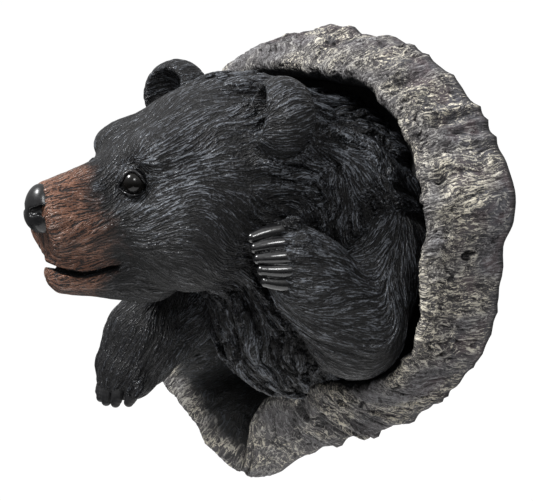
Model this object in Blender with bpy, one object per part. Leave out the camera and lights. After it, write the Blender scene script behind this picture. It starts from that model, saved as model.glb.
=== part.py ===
"""Bear wall plaque: a cast black bear bust that looks out of a hollow log with bark.

Two castings: the log, with a back plate that closes its hollow, and the bear set inside it.
The wall is the plane y = 0, the bear faces -Y, +Z is up, and the bear's left side is +X.
The origin is on the flat back of the log, behind the middle of its hollow.
"""

import itertools
import math

import bpy
import numpy as np

# Log sizes, in metres
LOG_RADIUS = 0.172
LOG_DEPTH = 0.064
PLATE_THICKNESS = 0.013
BACK_EDGE = 0.006
FURROW_DEPTH = 0.0034
KEYHOLE_HEIGHT = 0.122
KEYHOLE_ENTRY = 0.013
KEYHOLE_SLOT = 0.006
KEYHOLE_RISE = 0.016
KEYHOLE_DEPTH = 0.009
KEYHOLE_LIP = 0.003

# Bear sizes, in metres
HEAD_LENGTH = 0.190
SEAT_GAP = 0.0003
LOG_CLEARANCE = 0.0055
LOCK_RELIEF = 0.0036

# Facets
LOG_STEPS = 104
BEAR_GRID = 0.0032
BEAR_TRIANGLES = 6800

# The log's outline: angle from +X in degrees, then outer radius, rim radius and depth, as shares
LOG_OUTLINE = (
    (0, 0.955, 0.845, 0.97),
    (16, 1.050, 0.905, 0.97),
    (38, 1.060, 0.935, 1.00),
    (58, 1.045, 0.945, 1.00),
    (78, 1.040, 0.880, 0.97),
    (92, 1.065, 0.893, 0.97),
    (105, 1.120, 0.930, 1.00),
    (122, 1.130, 0.985, 1.02),
    (145, 1.060, 0.940, 1.00),
    (180, 1.000, 0.860, 1.03),
    (205, 1.050, 0.900, 1.18),
    (220, 1.140, 1.090, 1.38),
    (227, 1.120, 1.030, 1.36),
    (234, 1.170, 1.110, 1.18),
    (240, 1.290, 1.230, 0.88),
    (244, 1.380, 1.330, 0.60),
    (247, 1.290, 1.180, 0.68),
    (249, 1.220, 0.960, 0.93),
    (252, 1.140, 0.810, 0.97),
    (260, 1.020, 0.700, 0.97),
    (275, 0.910, 0.635, 0.95),
    (290, 0.875, 0.640, 0.97),
    (306, 0.885, 0.730, 0.97),
    (319, 0.900, 0.820, 1.00),
    (336, 0.930, 0.885, 0.98),
)
OUTLINE_ROUNDING = 2.0

# The bear is laid out in hundredths of its head length, from the middle of its flat back
UNIT = HEAD_LENGTH / 100
HEAD_PLACE = np.array([-4.5, -55.5, 23.3])
HEAD_YAW = 5.5
HEAD_ROLL = 7.0
NEAR_SIDE = 1
FAR_SIDE = -1


# Vectors and noise


def unit(vectors):
    """Vectors of length one."""
    lengths = np.sqrt((vectors * vectors).sum(-1, keepdims=True))
    return vectors / np.maximum(lengths, 1e-9)


def smoothstep(low, high, values):
    share = np.clip((values - low) / (high - low), 0, 1)
    return share * share * (3 - 2 * share)


def lattice_values(cells, seed):
    """A repeatable value from -1 to 1 for each whole-number cell."""
    keys = cells[..., 0] * 73856093 + cells[..., 1] * 19349663 + cells[..., 2] * 83492791
    keys = (keys + seed * 2654435761) & 0xFFFFFFFF
    keys = ((keys ^ (keys >> 15)) * 2246822519) & 0xFFFFFFFF
    keys = ((keys ^ (keys >> 13)) * 3266489917) & 0xFFFFFFFF
    return ((keys ^ (keys >> 16)) & 0xFFFFFF) / 8388607.5 - 1


def noise(points, seed):
    """Smooth noise from -1 to 1, with features about one unit wide."""
    floor = np.floor(points)
    share = points - floor
    share = share * share * (3 - 2 * share)
    cells = floor.astype(np.int64)
    total = 0.0
    for corner in np.ndindex(2, 2, 2):
        weight = np.prod(np.where(np.array(corner) == 1, share, 1 - share), axis=-1)
        total = total + weight * lattice_values(cells + np.array(corner), seed)
    return total


# Distance functions, negative inside


def ellipsoid(points, centre, radii):
    offset = points - np.array(centre, float)
    scaled = np.sqrt(((offset / radii) ** 2).sum(-1))
    slope = np.sqrt(((offset / np.square(radii)) ** 2).sum(-1))
    return scaled * (scaled - 1) / np.maximum(slope, 1e-6)


def limb(points, start, end, start_radius, end_radius):
    """A tapered limb with round ends."""
    start = np.array(start, float)
    along = np.array(end, float) - start
    share = np.clip(((points - start) @ along) / (along @ along), 0, 1)
    offset = points - start - share[..., None] * along
    radius = start_radius + share * (end_radius - start_radius)
    return np.sqrt((offset * offset).sum(-1)) - radius


def joined(first, second, blend):
    """The union of two shapes, with a fillet of about the given size."""
    mix = np.clip(0.5 + 0.5 * (second - first) / blend, 0, 1)
    return second + mix * (first - second) - blend * mix * (1 - mix)


def cut(first, second, blend):
    """The first shape without the second, with a rounded edge."""
    return -joined(-first, second, blend)


def turned(points, axis, degrees):
    """Points turned about a main axis, 0 to 2, for a shape that is turned the other way."""
    cosine, sine = math.cos(math.radians(degrees)), math.sin(math.radians(degrees))
    first, second = (axis + 1) % 3, (axis + 2) % 3
    result = points.copy()
    result[..., first] = cosine * points[..., first] + sine * points[..., second]
    result[..., second] = cosine * points[..., second] - sine * points[..., first]
    return result


# The log's outline and section


def outline_value(column, degrees):
    """One column of the outline table at each angle, with its corners rounded."""
    angles = [row[0] for row in LOG_OUTLINE]
    values = [row[column] for row in LOG_OUTLINE]
    spread = np.linspace(-OUTLINE_ROUNDING, OUTLINE_ROUNDING, 9)
    return sum(np.interp(degrees + shift, angles, values, period=360) for shift in spread) / 9


def outer_radius(degrees):
    return LOG_RADIUS * outline_value(1, degrees)


def rim_radius(degrees):
    return LOG_RADIUS * outline_value(2, degrees)


def rim_depth(degrees):
    return LOG_DEPTH * outline_value(3, degrees)


def hollow_radius(degrees):
    """The inner wall's radius where it meets the back plate."""
    return np.minimum(rim_radius(degrees) * 0.94 - 0.004, LOG_RADIUS * 0.86)


def section(degrees, share):
    """The log's surface from the foot of its inner wall (0) over the rim (1) to its outer edge (2).

    It gives the radius and the distance from the wall.
    """
    inner = hollow_radius(degrees)
    rim = rim_radius(degrees)
    outer = outer_radius(degrees)
    depth = rim_depth(degrees)
    rise = np.clip(share, 0, 1)
    fall = np.clip(share - 1, 0, 1)
    radius_in = inner + (rim - inner) * (0.35 * rise + 0.65 * rise**4)
    height_in = PLATE_THICKNESS + (depth - PLATE_THICKNESS) * (1.25 * rise - 0.25 * rise**5)
    bulge = 2 * fall * (1 - fall)
    radius_out = rim + (outer - rim) * (fall + 0.14 * bulge)
    height_out = depth + (BACK_EDGE - depth) * (fall**1.25 - 0.10 * bulge)
    on_slope = share > 1
    return np.where(on_slope, radius_out, radius_in), np.where(on_slope, height_out, height_in)


def bark(degrees, share):
    """Height of the bark's lumps and radial furrows, in metres."""
    angle = np.radians(degrees)
    ring = np.stack([np.cos(angle) * 3.2, np.sin(angle) * 3.2, share * 1.3], -1)
    lumps = 0.9 * noise(ring, 11)
    ridge_place = np.stack([np.cos(angle) * 11, np.sin(angle) * 11, share * 1.1], -1)
    furrows = 1 - 2 * np.abs(noise(ridge_place + 0.4 * noise(ring * 2, 12)[..., None], 13))
    outside = smoothstep(0.55, 1.15, share)
    return FURROW_DEPTH * (lumps + furrows) * (0.3 + 0.7 * outside)


def carved_section(degrees, share):
    """The section with its bark: the relief pushes out from the wood all round."""
    radius, height = section(degrees, share)
    relief = bark(degrees, share)
    outward = np.interp(share, (0, 0.88, 1.0, 1.2, 2.0), (-1.0, -0.7, 0.0, 1.0, 1.0))
    forward = np.interp(share, (0, 0.6, 1.0, 1.6, 2.0), (0.0, 0.3, 1.0, 0.5, 0.0))
    return radius + relief * outward, height + relief * forward


def log_distance(points):
    """Roughly the distance from world points to the log's walls, for keeping the bear clear of them."""
    degrees = np.degrees(np.arctan2(points[..., 2], points[..., 0]))
    radius = np.hypot(points[..., 0], points[..., 2])
    height = -points[..., 1]
    shares = np.linspace(0, 1, 33)
    heights = 1.25 * shares - 0.25 * shares**5
    level = np.clip((height - PLATE_THICKNESS) / (rim_depth(degrees) - PLATE_THICKNESS), 0, 1)
    wall = carved_section(degrees, np.interp(level, heights, shares))[0]
    crest = [carved_section(degrees, np.full(degrees.shape, share))[1] for share in (1.0, 1.08)]
    rim_top = np.maximum(*crest)
    inside_wall = wall - radius
    above_rim = height - rim_top
    corner = np.hypot(np.maximum(inside_wall, 0), np.maximum(above_rim, 0))
    return np.where((inside_wall > 0) | (above_rim > 0), corner, np.maximum(inside_wall, above_rim))


# The bear, in hundredths of its head length


def head_axes():
    """Forward, left and up of the head, as rows."""
    yaw = math.radians(HEAD_YAW)
    roll = math.radians(HEAD_ROLL)
    forward = np.array([-math.sin(yaw), -math.cos(yaw), 0.0])
    level = np.array([math.cos(yaw), -math.sin(yaw), 0.0])
    left = level * math.cos(roll) - np.array([0, 0, 1.0]) * math.sin(roll)
    return np.stack([forward, left, np.cross(left, -forward)])


def in_head(points):
    """Bear points as forward, left and up from the middle between the ears."""
    return (points - HEAD_PLACE) @ head_axes().T


def mouth_line(forward):
    """Height of the mouth line at each distance forward."""
    return -22.6 - 2.4 * np.sin((forward - 57) / 28 * math.pi) ** 2 + 1.6 * smoothstep(80, 87, forward)


def skull(local):
    side = np.abs(local[..., 1])
    mirrored = np.stack([local[..., 0], side, local[..., 2]], -1)
    shape = ellipsoid(turned(local - [9, 0, 12], 1, 13), (0, 0, 0), (47, 37, 37))
    brows = ellipsoid(mirrored, (44.5, 14, 21), (12, 12, 10))
    shape = joined(shape, brows, 9)
    cheeks = ellipsoid(mirrored, (29, 17, -8), (25, 22, 24))
    return joined(shape, cheeks, 12)


def muzzle(local):
    flat = local * np.array([1, 0.96, 1])
    snout = limb(flat, (50, 0, -4), (79, 0, -7.5), 19, 12.8)
    bridge = limb(local, (46, 0, 14), (85, 0, 2), 10, 7.5)
    ahead = local[..., 0] - 88 + 0.35 * np.maximum(0, -4 - local[..., 2])
    return cut(joined(snout, bridge, 8), -ahead, 3)


def jaw(local):
    flat = local * np.array([1, 1.1, 1])
    return limb(flat, (38, 0, -25), (74, 0, -25), 15, 9)


def nose_pad(local):
    side = np.abs(local[..., 1])
    mirrored = np.stack([local[..., 0], side, local[..., 2]], -1)
    pad = ellipsoid(local, (86.6, 0, 0), (5.8, 6.8, 9.4))
    wing = ellipsoid(mirrored, (86, 4.2, -3), (4.3, 3.6, 5.2))
    nostril = limb(mirrored, (91.5, 3.2, -0.8), (85.5, 7.4, -4.5), 1.8, 1.2)
    return cut(joined(pad, wing, 3), nostril, 1.5)


def eyeball(local):
    mirrored = np.stack([local[..., 0], np.abs(local[..., 1]), local[..., 2]], -1)
    return ellipsoid(mirrored, (55.5, 15.1, 11.5), (4.7, 4.7, 4.7))


def ear(local, side):
    """A deep round cup that opens forwards and a little inwards."""
    place = local * np.array([1, side, 1]) - np.array([6, 39, 39.5])
    place = turned(place, 2, -18)
    shell = ellipsoid(place, (0, 0, 0), (13, 15, 15.5))
    bowl = ellipsoid(place, (12.5, -0.5, 1), (12.5, 10, 11))
    return cut(shell, bowl, 2)


def head(points):
    local = in_head(points)
    shape = joined(skull(local), muzzle(local), 10)
    shape = joined(shape, jaw(local), 5)
    mirrored = np.stack([local[..., 0], np.abs(local[..., 1]), local[..., 2]], -1)
    socket = ellipsoid(mirrored, (60.2, 18.6, 11.5), (8, 6, 7))
    shape = cut(shape, socket, 5)
    lids = ellipsoid(mirrored, (55.0, 14.3, 11.2), (6.2, 4.8, 5.6))
    shape = joined(shape, lids, 2)
    shape = joined(shape, eyeball(local), 0.6)
    gap = np.abs(local[..., 2] - mouth_line(local[..., 0])) - 1.1
    opening = np.maximum(np.maximum(gap, 57 - local[..., 0]), -4.2 - shape)
    shape = cut(shape, opening, 0.8)
    shape = joined(shape, nose_pad(local), 1.0)
    for side in (NEAR_SIDE, FAR_SIDE):
        shape = joined(shape, ear(local, side), 3)
    return shape


def trunk(points):
    """Neck, shoulders and chest, down to the flat back."""
    neck = limb(points, (-3, -46, 29), (0, -4, 8), 43, 50)
    shoulders = ellipsoid(points, (0, -6, 4), (51, 40, 64))
    chest = ellipsoid(points, (1, -30, -16), (34, 34, 42))
    return joined(joined(neck, shoulders, 12), chest, 14)


def claws(points, roots, tips, thickness):
    """A row of claws, each a tapered limb."""
    shape = None
    for root, tip in zip(roots, tips):
        one = limb(points, root, tip, thickness, thickness * 0.5)
        shape = one if shape is None else np.minimum(shape, one)
    return shape


def fan(first, last, bulge, count=5):
    """Points from first to last, pushed out in the middle by the bulge."""
    shares = np.linspace(0, 1, count)
    first, last, bulge = (np.array(place, float) for place in (first, last, bulge))
    return [first + (last - first) * t + bulge * 4 * t * (1 - t) for t in shares]


NEAR_ELBOW = (46, -34, -25.5)
NEAR_WRIST = (42, -55, -4)
NEAR_PAW = (40, -61, 4)
FAR_ELBOW = (-38, -36, -8)
FAR_WRIST = (-45.5, -70, -36)
FAR_PAW = (-46.5, -79, -49)


def near_arm(points):
    upper = limb(points, (40, -12, 2), NEAR_ELBOW, 20, 19)
    fore = limb(points, NEAR_ELBOW, NEAR_WRIST, 20, 15.5)
    paw = limb(points, NEAR_WRIST, NEAR_PAW, 15, 12.5)
    return joined(joined(upper, fore, 4), paw, 5)


def near_claws(points):
    roots = fan((41, -69, 14.5), (46, -67.5, -5.5), (4, -1, 0.5))
    tips = fan((37, -79, 12), (42.5, -77, -4.5), (1.5, -1.5, 0.5))
    return claws(points, roots, tips, 2.7)


def far_arm(points):
    upper = limb(points, (-34, -16, 4), FAR_ELBOW, 24, 22)
    fore = limb(points, FAR_ELBOW, FAR_WRIST, 21, 17)
    paw = limb(points, FAR_WRIST, FAR_PAW, 17, 14)
    return joined(joined(upper, fore, 6), paw, 6)


def far_claws(points):
    roots = fan((-59.5, -82, -55), (-35.5, -84, -56), (0, -5, 0))
    tips = fan((-58.5, -86, -60), (-36.5, -86, -61.5), (0, -4, -1.5))
    return claws(points, roots, tips, 3.2)


def smooth_bear(points):
    """The bear without its fur's relief, and still free of the log."""
    body = joined(head(points), trunk(points), 12)
    body = joined(body, far_arm(points), 5)
    body = joined(body, near_arm(points), 2.5)
    body = joined(body, near_claws(points), 0.6)
    return joined(body, far_claws(points), 0.6)


# Fur


def grain(points):
    """Direction in which the hair lies, not yet laid along the surface."""
    local = in_head(points)
    forward, left, up = head_axes()
    height = local[..., 2:3]
    back = local[..., 0:1]
    side = np.abs(local[..., 1:2])
    drop = smoothstep(48, 22, back) * smoothstep(26, -8, height) * smoothstep(8, 26, side)
    on_head = -forward + (0.25 * (1 - drop) - 0.8 * drop) * up
    on_neck = np.array([0.0, 0.55, 0.0]) + np.array([0.0, 0.0, -0.9]) * smoothstep(70, 20, points[..., 2:3])
    neck_share = smoothstep(6, -12, back)
    flow = on_head * (1 - neck_share) + on_neck * neck_share
    chest_share = smoothstep(-28, -46, local[..., 2:3]) * smoothstep(60, 40, back)
    flow = flow * (1 - chest_share) + np.array([0.05, 0.25, -1.0]) * chest_share
    near_share = smoothstep(3, 0, near_arm(points) - trunk(points))[..., None]
    turn = smoothstep(-42, -26, points[..., 1:2])
    on_near = np.array([0.6, 0.75, -0.3]) * (1 - turn) + np.array([0.1, 0.15, 1.0]) * turn
    flow = flow * (1 - near_share) + on_near * near_share
    far_share = smoothstep(3, 0, far_arm(points) - trunk(points))[..., None]
    return flow * (1 - far_share) + np.array([-0.1, -0.45, -1.0]) * far_share


def swirled(flow, normals, points, waviness):
    """The flow laid along the surface and turned left and right in slow waves."""
    flow = unit(flow - normals * (flow * normals).sum(-1, keepdims=True))
    angle = waviness * noise(points / 13, 21)
    across = np.cross(normals, flow)
    return flow * np.cos(angle)[..., None] + across * np.sin(angle)[..., None]


def streaks(points, direction_at, width, length, steps, seed):
    """Noise drawn out along the hair, from about -1 to 1."""
    total = noise(points / width, seed)
    count = 1
    for way in (1, -1):
        place = points.copy()
        for _ in range(steps):
            place = place + way * length / steps * direction_at(place)
            total = total + noise(place / width, seed)
            count += 1
    return np.clip(total / math.sqrt(count) * 1.25, -1, 1)


def bare(points):
    """Share from 0 to 1 of the surface that has no locks: all of the face, ears and claws, and most of the arms."""
    local = in_head(points)
    face = smoothstep(2, 28, local[..., 0]) * smoothstep(-55, -30, local[..., 2])
    cups = np.minimum(ear(local, NEAR_SIDE), ear(local, FAR_SIDE))
    nails = np.minimum(near_claws(points), far_claws(points))
    arms = np.minimum(near_arm(points), far_arm(points))
    smooth = np.maximum(face, 0.75 * smoothstep(3, 0, arms))
    return np.maximum(smooth, np.maximum(smoothstep(3, 0, cups), smoothstep(4, 0, nails)))


# Meshing


TETRAHEDRA = ((0, 5, 1, 6), (0, 1, 2, 6), (0, 2, 3, 6), (0, 3, 7, 6), (0, 7, 4, 6), (0, 4, 5, 6))
CORNERS = np.array([(0, 0, 0), (1, 0, 0), (1, 1, 0), (0, 1, 0), (0, 0, 1), (1, 0, 1), (1, 1, 1), (0, 1, 1)])
EVEN_ORDERS = [order for order in itertools.permutations(range(4)) if np.linalg.det(np.eye(4)[list(order)]) > 0]


def tetrahedron_edges(inside):
    """For each pattern of inside corners, the crossed edges of its triangles, wound to face out."""
    inner = [corner for corner in range(4) if inside >> corner & 1]
    if len(inner) in (0, 4):
        return []
    if len(inner) == 2:
        a, b, c, d = next(order for order in EVEN_ORDERS if order[:2] == tuple(inner))
        return [((a, c), (a, d), (b, d)), ((a, c), (b, d), (b, c))]
    lone = inner[0] if len(inner) == 1 else next(corner for corner in range(4) if corner not in inner)
    a, b, c, d = next(order for order in EVEN_ORDERS if order[0] == lone)
    triangle = ((a, b), (a, c), (a, d))
    return [triangle] if len(inner) == 1 else [triangle[::-1]]


def surface_of(values, low, step):
    """Points and triangles of the zero surface of a grid of distances."""
    tiny = step * 0.04
    values = np.where(np.abs(values) < tiny, np.where(values < 0, -tiny, tiny), values)
    shape = np.array(values.shape)
    flat = values.reshape(-1)
    strides = np.array([shape[1] * shape[2], shape[2], 1])
    inside = values < 0
    views = [inside[x : x + shape[0] - 1, y : y + shape[1] - 1, z : z + shape[2] - 1] for x, y, z in CORNERS]
    count = sum(view.astype(np.int8) for view in views)
    cells = np.argwhere((count > 0) & (count < 8)) @ strides
    corners = cells[:, None] + (CORNERS @ strides)[None]
    rows = []
    for tetrahedron in TETRAHEDRA:
        nodes = corners[:, list(tetrahedron)]
        pattern = (flat[nodes] < 0) @ np.array([1, 2, 4, 8])
        for case in range(1, 15):
            chosen = nodes[pattern == case]
            for triangle in tetrahedron_edges(case):
                rows.append(np.stack([np.sort(chosen[:, edge], axis=1) for edge in map(list, triangle)], 1))
    pairs = np.concatenate(rows)
    keys = pairs[..., 0] * flat.size + pairs[..., 1]
    found, index = np.unique(keys, return_inverse=True)
    first, second = found // flat.size, found % flat.size
    share = flat[first] / (flat[first] - flat[second])
    start = np.stack(np.unravel_index(first, values.shape), -1)
    end = np.stack(np.unravel_index(second, values.shape), -1)
    return low + step * (start + share[:, None] * (end - start)), index.reshape(-1, 3)


def largest_surface(points, triangles):
    """The one connected surface with the most points, without crumbs smaller than a lock."""
    label = np.arange(len(points))
    changed = True
    while changed:
        lowest = label[triangles].min(axis=1)
        lower = label.copy()
        np.minimum.at(lower, triangles.reshape(-1), np.repeat(lowest, 3))
        lower = lower[lower]
        changed = (lower != label).any()
        label = lower
    kept = label == np.bincount(label).argmax()
    renumbered = np.cumsum(kept) - 1
    return points[kept], renumbered[triangles[kept[triangles[:, 0]]]]


def grid_points(low, high, step):
    counts = np.ceil((high - low) / step).astype(int) + 1
    axes = [low[axis] + step * np.arange(counts[axis]) for axis in range(3)]
    return np.stack(np.meshgrid(*axes, indexing="ij"), -1)


def to_world(points):
    return points * UNIT + np.array([0, -(PLATE_THICKNESS + SEAT_GAP), 0])


def furred_grid(low, high, step):
    """Distances of the bear with its locks, over a grid in bear units."""
    points = grid_points(low, high, step)
    base = smooth_bear(points)
    slopes = unit(np.stack(np.gradient(base, step), -1))
    directions = swirled(grain(points), slopes, points, 0.5)
    near = np.abs(base) < 4
    place = points[near]
    top = np.array(base.shape) - 1

    def direction_at(where):
        cells = np.clip(np.rint((where - low) / step).astype(int), 0, top)
        return directions[cells[:, 0], cells[:, 1], cells[:, 2]]

    locks = streaks(place, direction_at, 4.4, 14, 6, 31)
    relief = LOCK_RELIEF / UNIT * locks * (1 - bare(place))
    furred = base.copy()
    furred[near] = base[near] - relief * smoothstep(4, 2, np.abs(base[near]))
    return points, furred


def bear_mesh():
    """The bear's points, in metres, and triangles."""
    step = BEAR_GRID / UNIT
    low = np.array([-72.0, -164.0, -84.0])
    high = np.array([74.0, 6.0, 90.0])
    points, shape = furred_grid(low, high, step)
    beside_log = (shape < 3 * step) & (to_world(points)[..., 1] > -2 * LOG_DEPTH)
    clear = (LOG_CLEARANCE - log_distance(to_world(points[beside_log]))) / UNIT
    shape[beside_log] = np.maximum(shape[beside_log], clear)
    shape = np.maximum(shape, points[..., 1])
    places, triangles = largest_surface(*surface_of(shape, low, step))
    return to_world(places), triangles


def log_mesh():
    """The log's points and faces: rings of points from the plate's middle over the rim to the back."""
    degrees = np.arange(LOG_STEPS) * 360 / LOG_STEPS
    rings = []
    plate_radius = hollow_radius(degrees)
    for share in (0.5, 1.0):
        rings.append((plate_radius * share, np.full(LOG_STEPS, PLATE_THICKNESS)))
    shares = [0.35, 0.65, 0.88, 1.0, 1.1, 1.25, 1.42, 1.6, 1.8, 2.0]
    for share in shares:
        rings.append(carved_section(degrees, np.full(LOG_STEPS, share)))
    rings.append((rings[-1][0] - 0.001, np.zeros(LOG_STEPS)))
    rings.append((rings[-1][0] * 0.55, np.zeros(LOG_STEPS)))
    angle = np.radians(degrees)
    points = [(0.0, -PLATE_THICKNESS, 0.0)]
    for radius, height in rings:
        points += list(zip(radius * np.cos(angle), -height, radius * np.sin(angle)))
    points.append((0.0, 0.0, 0.0))
    faces = []
    for step in range(LOG_STEPS):
        following = (step + 1) % LOG_STEPS
        faces.append((0, 1 + step, 1 + following))
        for ring in range(len(rings) - 1):
            base = 1 + ring * LOG_STEPS
            above = base + LOG_STEPS
            faces.append((base + step, above + step, above + following))
            faces.append((base + step, above + following, base + following))
        last = 1 + (len(rings) - 1) * LOG_STEPS
        faces.append((last + step, len(points) - 1, last + following))
    return points, faces


# Objects


def clear_scene():
    for thing in list(bpy.data.objects):
        bpy.data.objects.remove(thing, do_unlink=True)


def material(name, colour, roughness):
    made = bpy.data.materials.new(name)
    made.use_nodes = True
    shader = made.node_tree.nodes["Principled BSDF"]
    shader.inputs["Base Color"].default_value = (*colour, 1)
    shader.inputs["Roughness"].default_value = roughness
    shader.inputs["Metallic"].default_value = 0.0
    return made


def add_object(name, points, faces, finish=None):
    mesh = bpy.data.meshes.new(name)
    mesh.from_pydata([tuple(map(float, point)) for point in points], [], [tuple(map(int, f)) for f in faces])
    mesh.validate()
    made = bpy.data.objects.new(name, mesh)
    bpy.context.scene.collection.objects.link(made)
    if finish:
        mesh.materials.append(finish)
    return made


def prism(name, outline, near, far):
    """A cutter: the closed outline of (x, z) points, from y = near to y = far."""
    count = len(outline)
    points = [(x, near, z) for x, z in outline] + [(x, far, z) for x, z in outline]
    faces = [tuple(range(count - 1, -1, -1)), tuple(range(count, 2 * count))]
    for step in range(count):
        following = (step + 1) % count
        faces.append((step, following, count + following, count + step))
    made = add_object(name, points, faces)
    made.hide_render = True
    made.display_type = "WIRE"
    return made


def arc(centre_z, radius, start, end, steps):
    angles = np.radians(np.linspace(start, end, steps))
    return [(radius * math.cos(angle), centre_z + radius * math.sin(angle)) for angle in angles]


def keyhole_outline(entry_radius, slot_radius):
    """A round entry with a slot that runs up from it."""
    lean = math.degrees(math.asin(slot_radius / entry_radius))
    entry = arc(KEYHOLE_HEIGHT, entry_radius, 90 + lean, 450 - lean, 17)
    return entry + arc(KEYHOLE_HEIGHT + KEYHOLE_RISE, slot_radius, 0, 180, 9)


def cut_keyhole(log):
    """The hanging pocket: a keyhole through the lip, and a wider channel behind it."""
    over = 0.002
    mouth = prism("keyhole_mouth", keyhole_outline(KEYHOLE_ENTRY / 2, KEYHOLE_SLOT / 2), over, -KEYHOLE_DEPTH)
    radius = KEYHOLE_ENTRY / 2
    channel_outline = arc(KEYHOLE_HEIGHT, radius, 180, 360, 9)
    channel_outline += arc(KEYHOLE_HEIGHT + KEYHOLE_RISE, radius, 0, 180, 9)
    channel = prism("keyhole_channel", channel_outline, -KEYHOLE_LIP, -KEYHOLE_DEPTH)
    for cutter in (mouth, channel):
        taking = log.modifiers.new(cutter.name, "BOOLEAN")
        taking.operation = "DIFFERENCE"
        taking.object = cutter


def shade(made):
    made.data.shade_smooth()
    made.data.set_sharp_from_angle(angle=math.radians(50))


def build_log():
    points, faces = log_mesh()
    log = add_object("log_frame", points, faces, material("bark", (0.23, 0.21, 0.19), 0.8))
    cut_keyhole(log)
    shade(log)
    return log


def build_bear():
    points, triangles = bear_mesh()
    bear = add_object("bear", points, triangles, material("black_fur", (0.03, 0.03, 0.035), 0.45))
    fewer = bear.modifiers.new("facets", "DECIMATE")
    fewer.ratio = BEAR_TRIANGLES / len(triangles)
    shade(bear)
    return bear


def main():
    clear_scene()
    build_log()
    build_bear()


main()
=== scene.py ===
import math
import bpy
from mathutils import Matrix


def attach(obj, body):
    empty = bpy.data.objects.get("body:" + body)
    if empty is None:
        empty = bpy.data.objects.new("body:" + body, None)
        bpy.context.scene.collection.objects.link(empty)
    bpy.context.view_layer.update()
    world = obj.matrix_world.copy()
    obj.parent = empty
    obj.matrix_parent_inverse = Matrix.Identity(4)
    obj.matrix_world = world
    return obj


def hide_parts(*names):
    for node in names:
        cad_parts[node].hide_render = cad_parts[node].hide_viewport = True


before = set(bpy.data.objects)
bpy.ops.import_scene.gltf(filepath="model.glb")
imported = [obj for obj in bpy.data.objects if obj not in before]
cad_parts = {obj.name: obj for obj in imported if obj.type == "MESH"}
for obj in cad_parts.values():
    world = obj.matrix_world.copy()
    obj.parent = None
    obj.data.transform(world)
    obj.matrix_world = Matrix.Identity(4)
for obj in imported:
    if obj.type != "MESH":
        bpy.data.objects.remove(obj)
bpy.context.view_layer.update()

from concurrent.futures import ThreadPoolExecutor

import bpy
import numpy as np
from mathutils import Matrix, Vector

# Log sizes, in metres, as in the solids
LOG_RADIUS = 0.172
LOG_DEPTH = 0.064
PLATE_THICKNESS = 0.013
BACK_EDGE = 0.006
FURROW_DEPTH = 0.0034
KEYHOLE_HEIGHT = 0.122
KEYHOLE_ENTRY = 0.013
KEYHOLE_SLOT = 0.006
KEYHOLE_RISE = 0.016
KEYHOLE_DEPTH = 0.009
KEYHOLE_LIP = 0.003

# Bear sizes, in metres, as in the solids
HEAD_LENGTH = 0.190
SEAT_GAP = 0.0003
LOG_CLEARANCE = 0.0055
LOCK_RELIEF = 0.0036

# The log's outline: angle from +X in degrees, then outer radius, rim radius and depth, as shares
LOG_OUTLINE = (
    (0, 0.955, 0.845, 0.97),
    (16, 1.050, 0.905, 0.97),
    (38, 1.060, 0.935, 1.00),
    (58, 1.045, 0.945, 1.00),
    (78, 1.040, 0.880, 0.97),
    (92, 1.065, 0.893, 0.97),
    (105, 1.120, 0.930, 1.00),
    (122, 1.130, 0.985, 1.02),
    (145, 1.060, 0.940, 1.00),
    (180, 1.000, 0.860, 1.03),
    (205, 1.050, 0.900, 1.18),
    (220, 1.140, 1.090, 1.38),
    (227, 1.120, 1.030, 1.36),
    (234, 1.170, 1.110, 1.18),
    (240, 1.290, 1.230, 0.88),
    (244, 1.380, 1.330, 0.60),
    (247, 1.290, 1.180, 0.68),
    (249, 1.220, 0.960, 0.93),
    (252, 1.140, 0.810, 0.97),
    (260, 1.020, 0.700, 0.97),
    (275, 0.910, 0.635, 0.95),
    (290, 0.875, 0.640, 0.97),
    (306, 0.885, 0.730, 0.97),
    (319, 0.900, 0.820, 1.00),
    (336, 0.930, 0.885, 0.98),
)
OUTLINE_ROUNDING = 2.0

# The bear is laid out in hundredths of its head length, from the middle of its flat back
UNIT = HEAD_LENGTH / 100
HEAD_PLACE = np.array([-4.5, -55.5, 23.3])
HEAD_YAW = 5.5
HEAD_ROLL = 7.0
NEAR_SIDE = 1
FAR_SIDE = -1

# Fineness of the meshes, in metres, and their triangles
BODY_GRID = 0.00125
ARM_GRID = 0.0011
DETAIL_GRID = 0.0006
HEAD_TRIANGLES = 190000
NECK_TRIANGLES = 196000
ARM_TRIANGLES = 130000
LOG_STEPS = 1300
LOG_PROFILE = 260
LOG_TRIANGLES = 194000
DETAIL_TRIANGLES = 24000

# Points are worked out in chunks of this size, this many side by side
CHUNK = 40000
WORKERS = 4

# How far from the smooth surface the locks fade out, in bear units
LOCK_REACH = 6

# The seam between the head's mesh and the neck's, in bear units: each sinks past it and overlaps the other
SEAM_PLACE = 9.0
SEAM_START = 1.0
SEAM_OVERLAP = 2.5
SEAM_SINK = 1.3

# Height and forward edge of the muzzle's brown, in bear units
BROWN_HEIGHTS = (-36, -29, -20, -15, -9, 0, 9, 15)
BROWN_EDGES = (66, 65, 61.5, 64, 67, 71, 72, 71)

# Where the hollow's black, paint and painted shade together, ends: angle, and share along the log's profile
DARK_ANGLES = (0, 195, 205, 232, 246, 256, 262, 360)
DARK_SHARES = (0.93, 0.95, 0.93, 0.92, 0.96, 0.97, 0.95, 0.93)

# Knots in the bark: angle, share along the log's profile and size in millimetres
KNOTS = (
    (3, 1.62, 5.0),
    (286, 1.5, 5.5),
    (335, 1.5, 4.0),
    (318, 1.72, 3.5),
    (130, 1.5, 5.0),
    (200, 1.6, 4.5),
    (75, 1.66, 3.5),
)

# Height of the ring round each knot and depth of its hole, in metres
KNOT_RING = 0.0016
KNOT_HOLE = 0.0042

# Relief of the bark, in metres
GRAIN_RELIEF = 0.0008
FINE_RELIEF = 0.0005
CRACK_DEPTH = 0.0022

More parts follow.
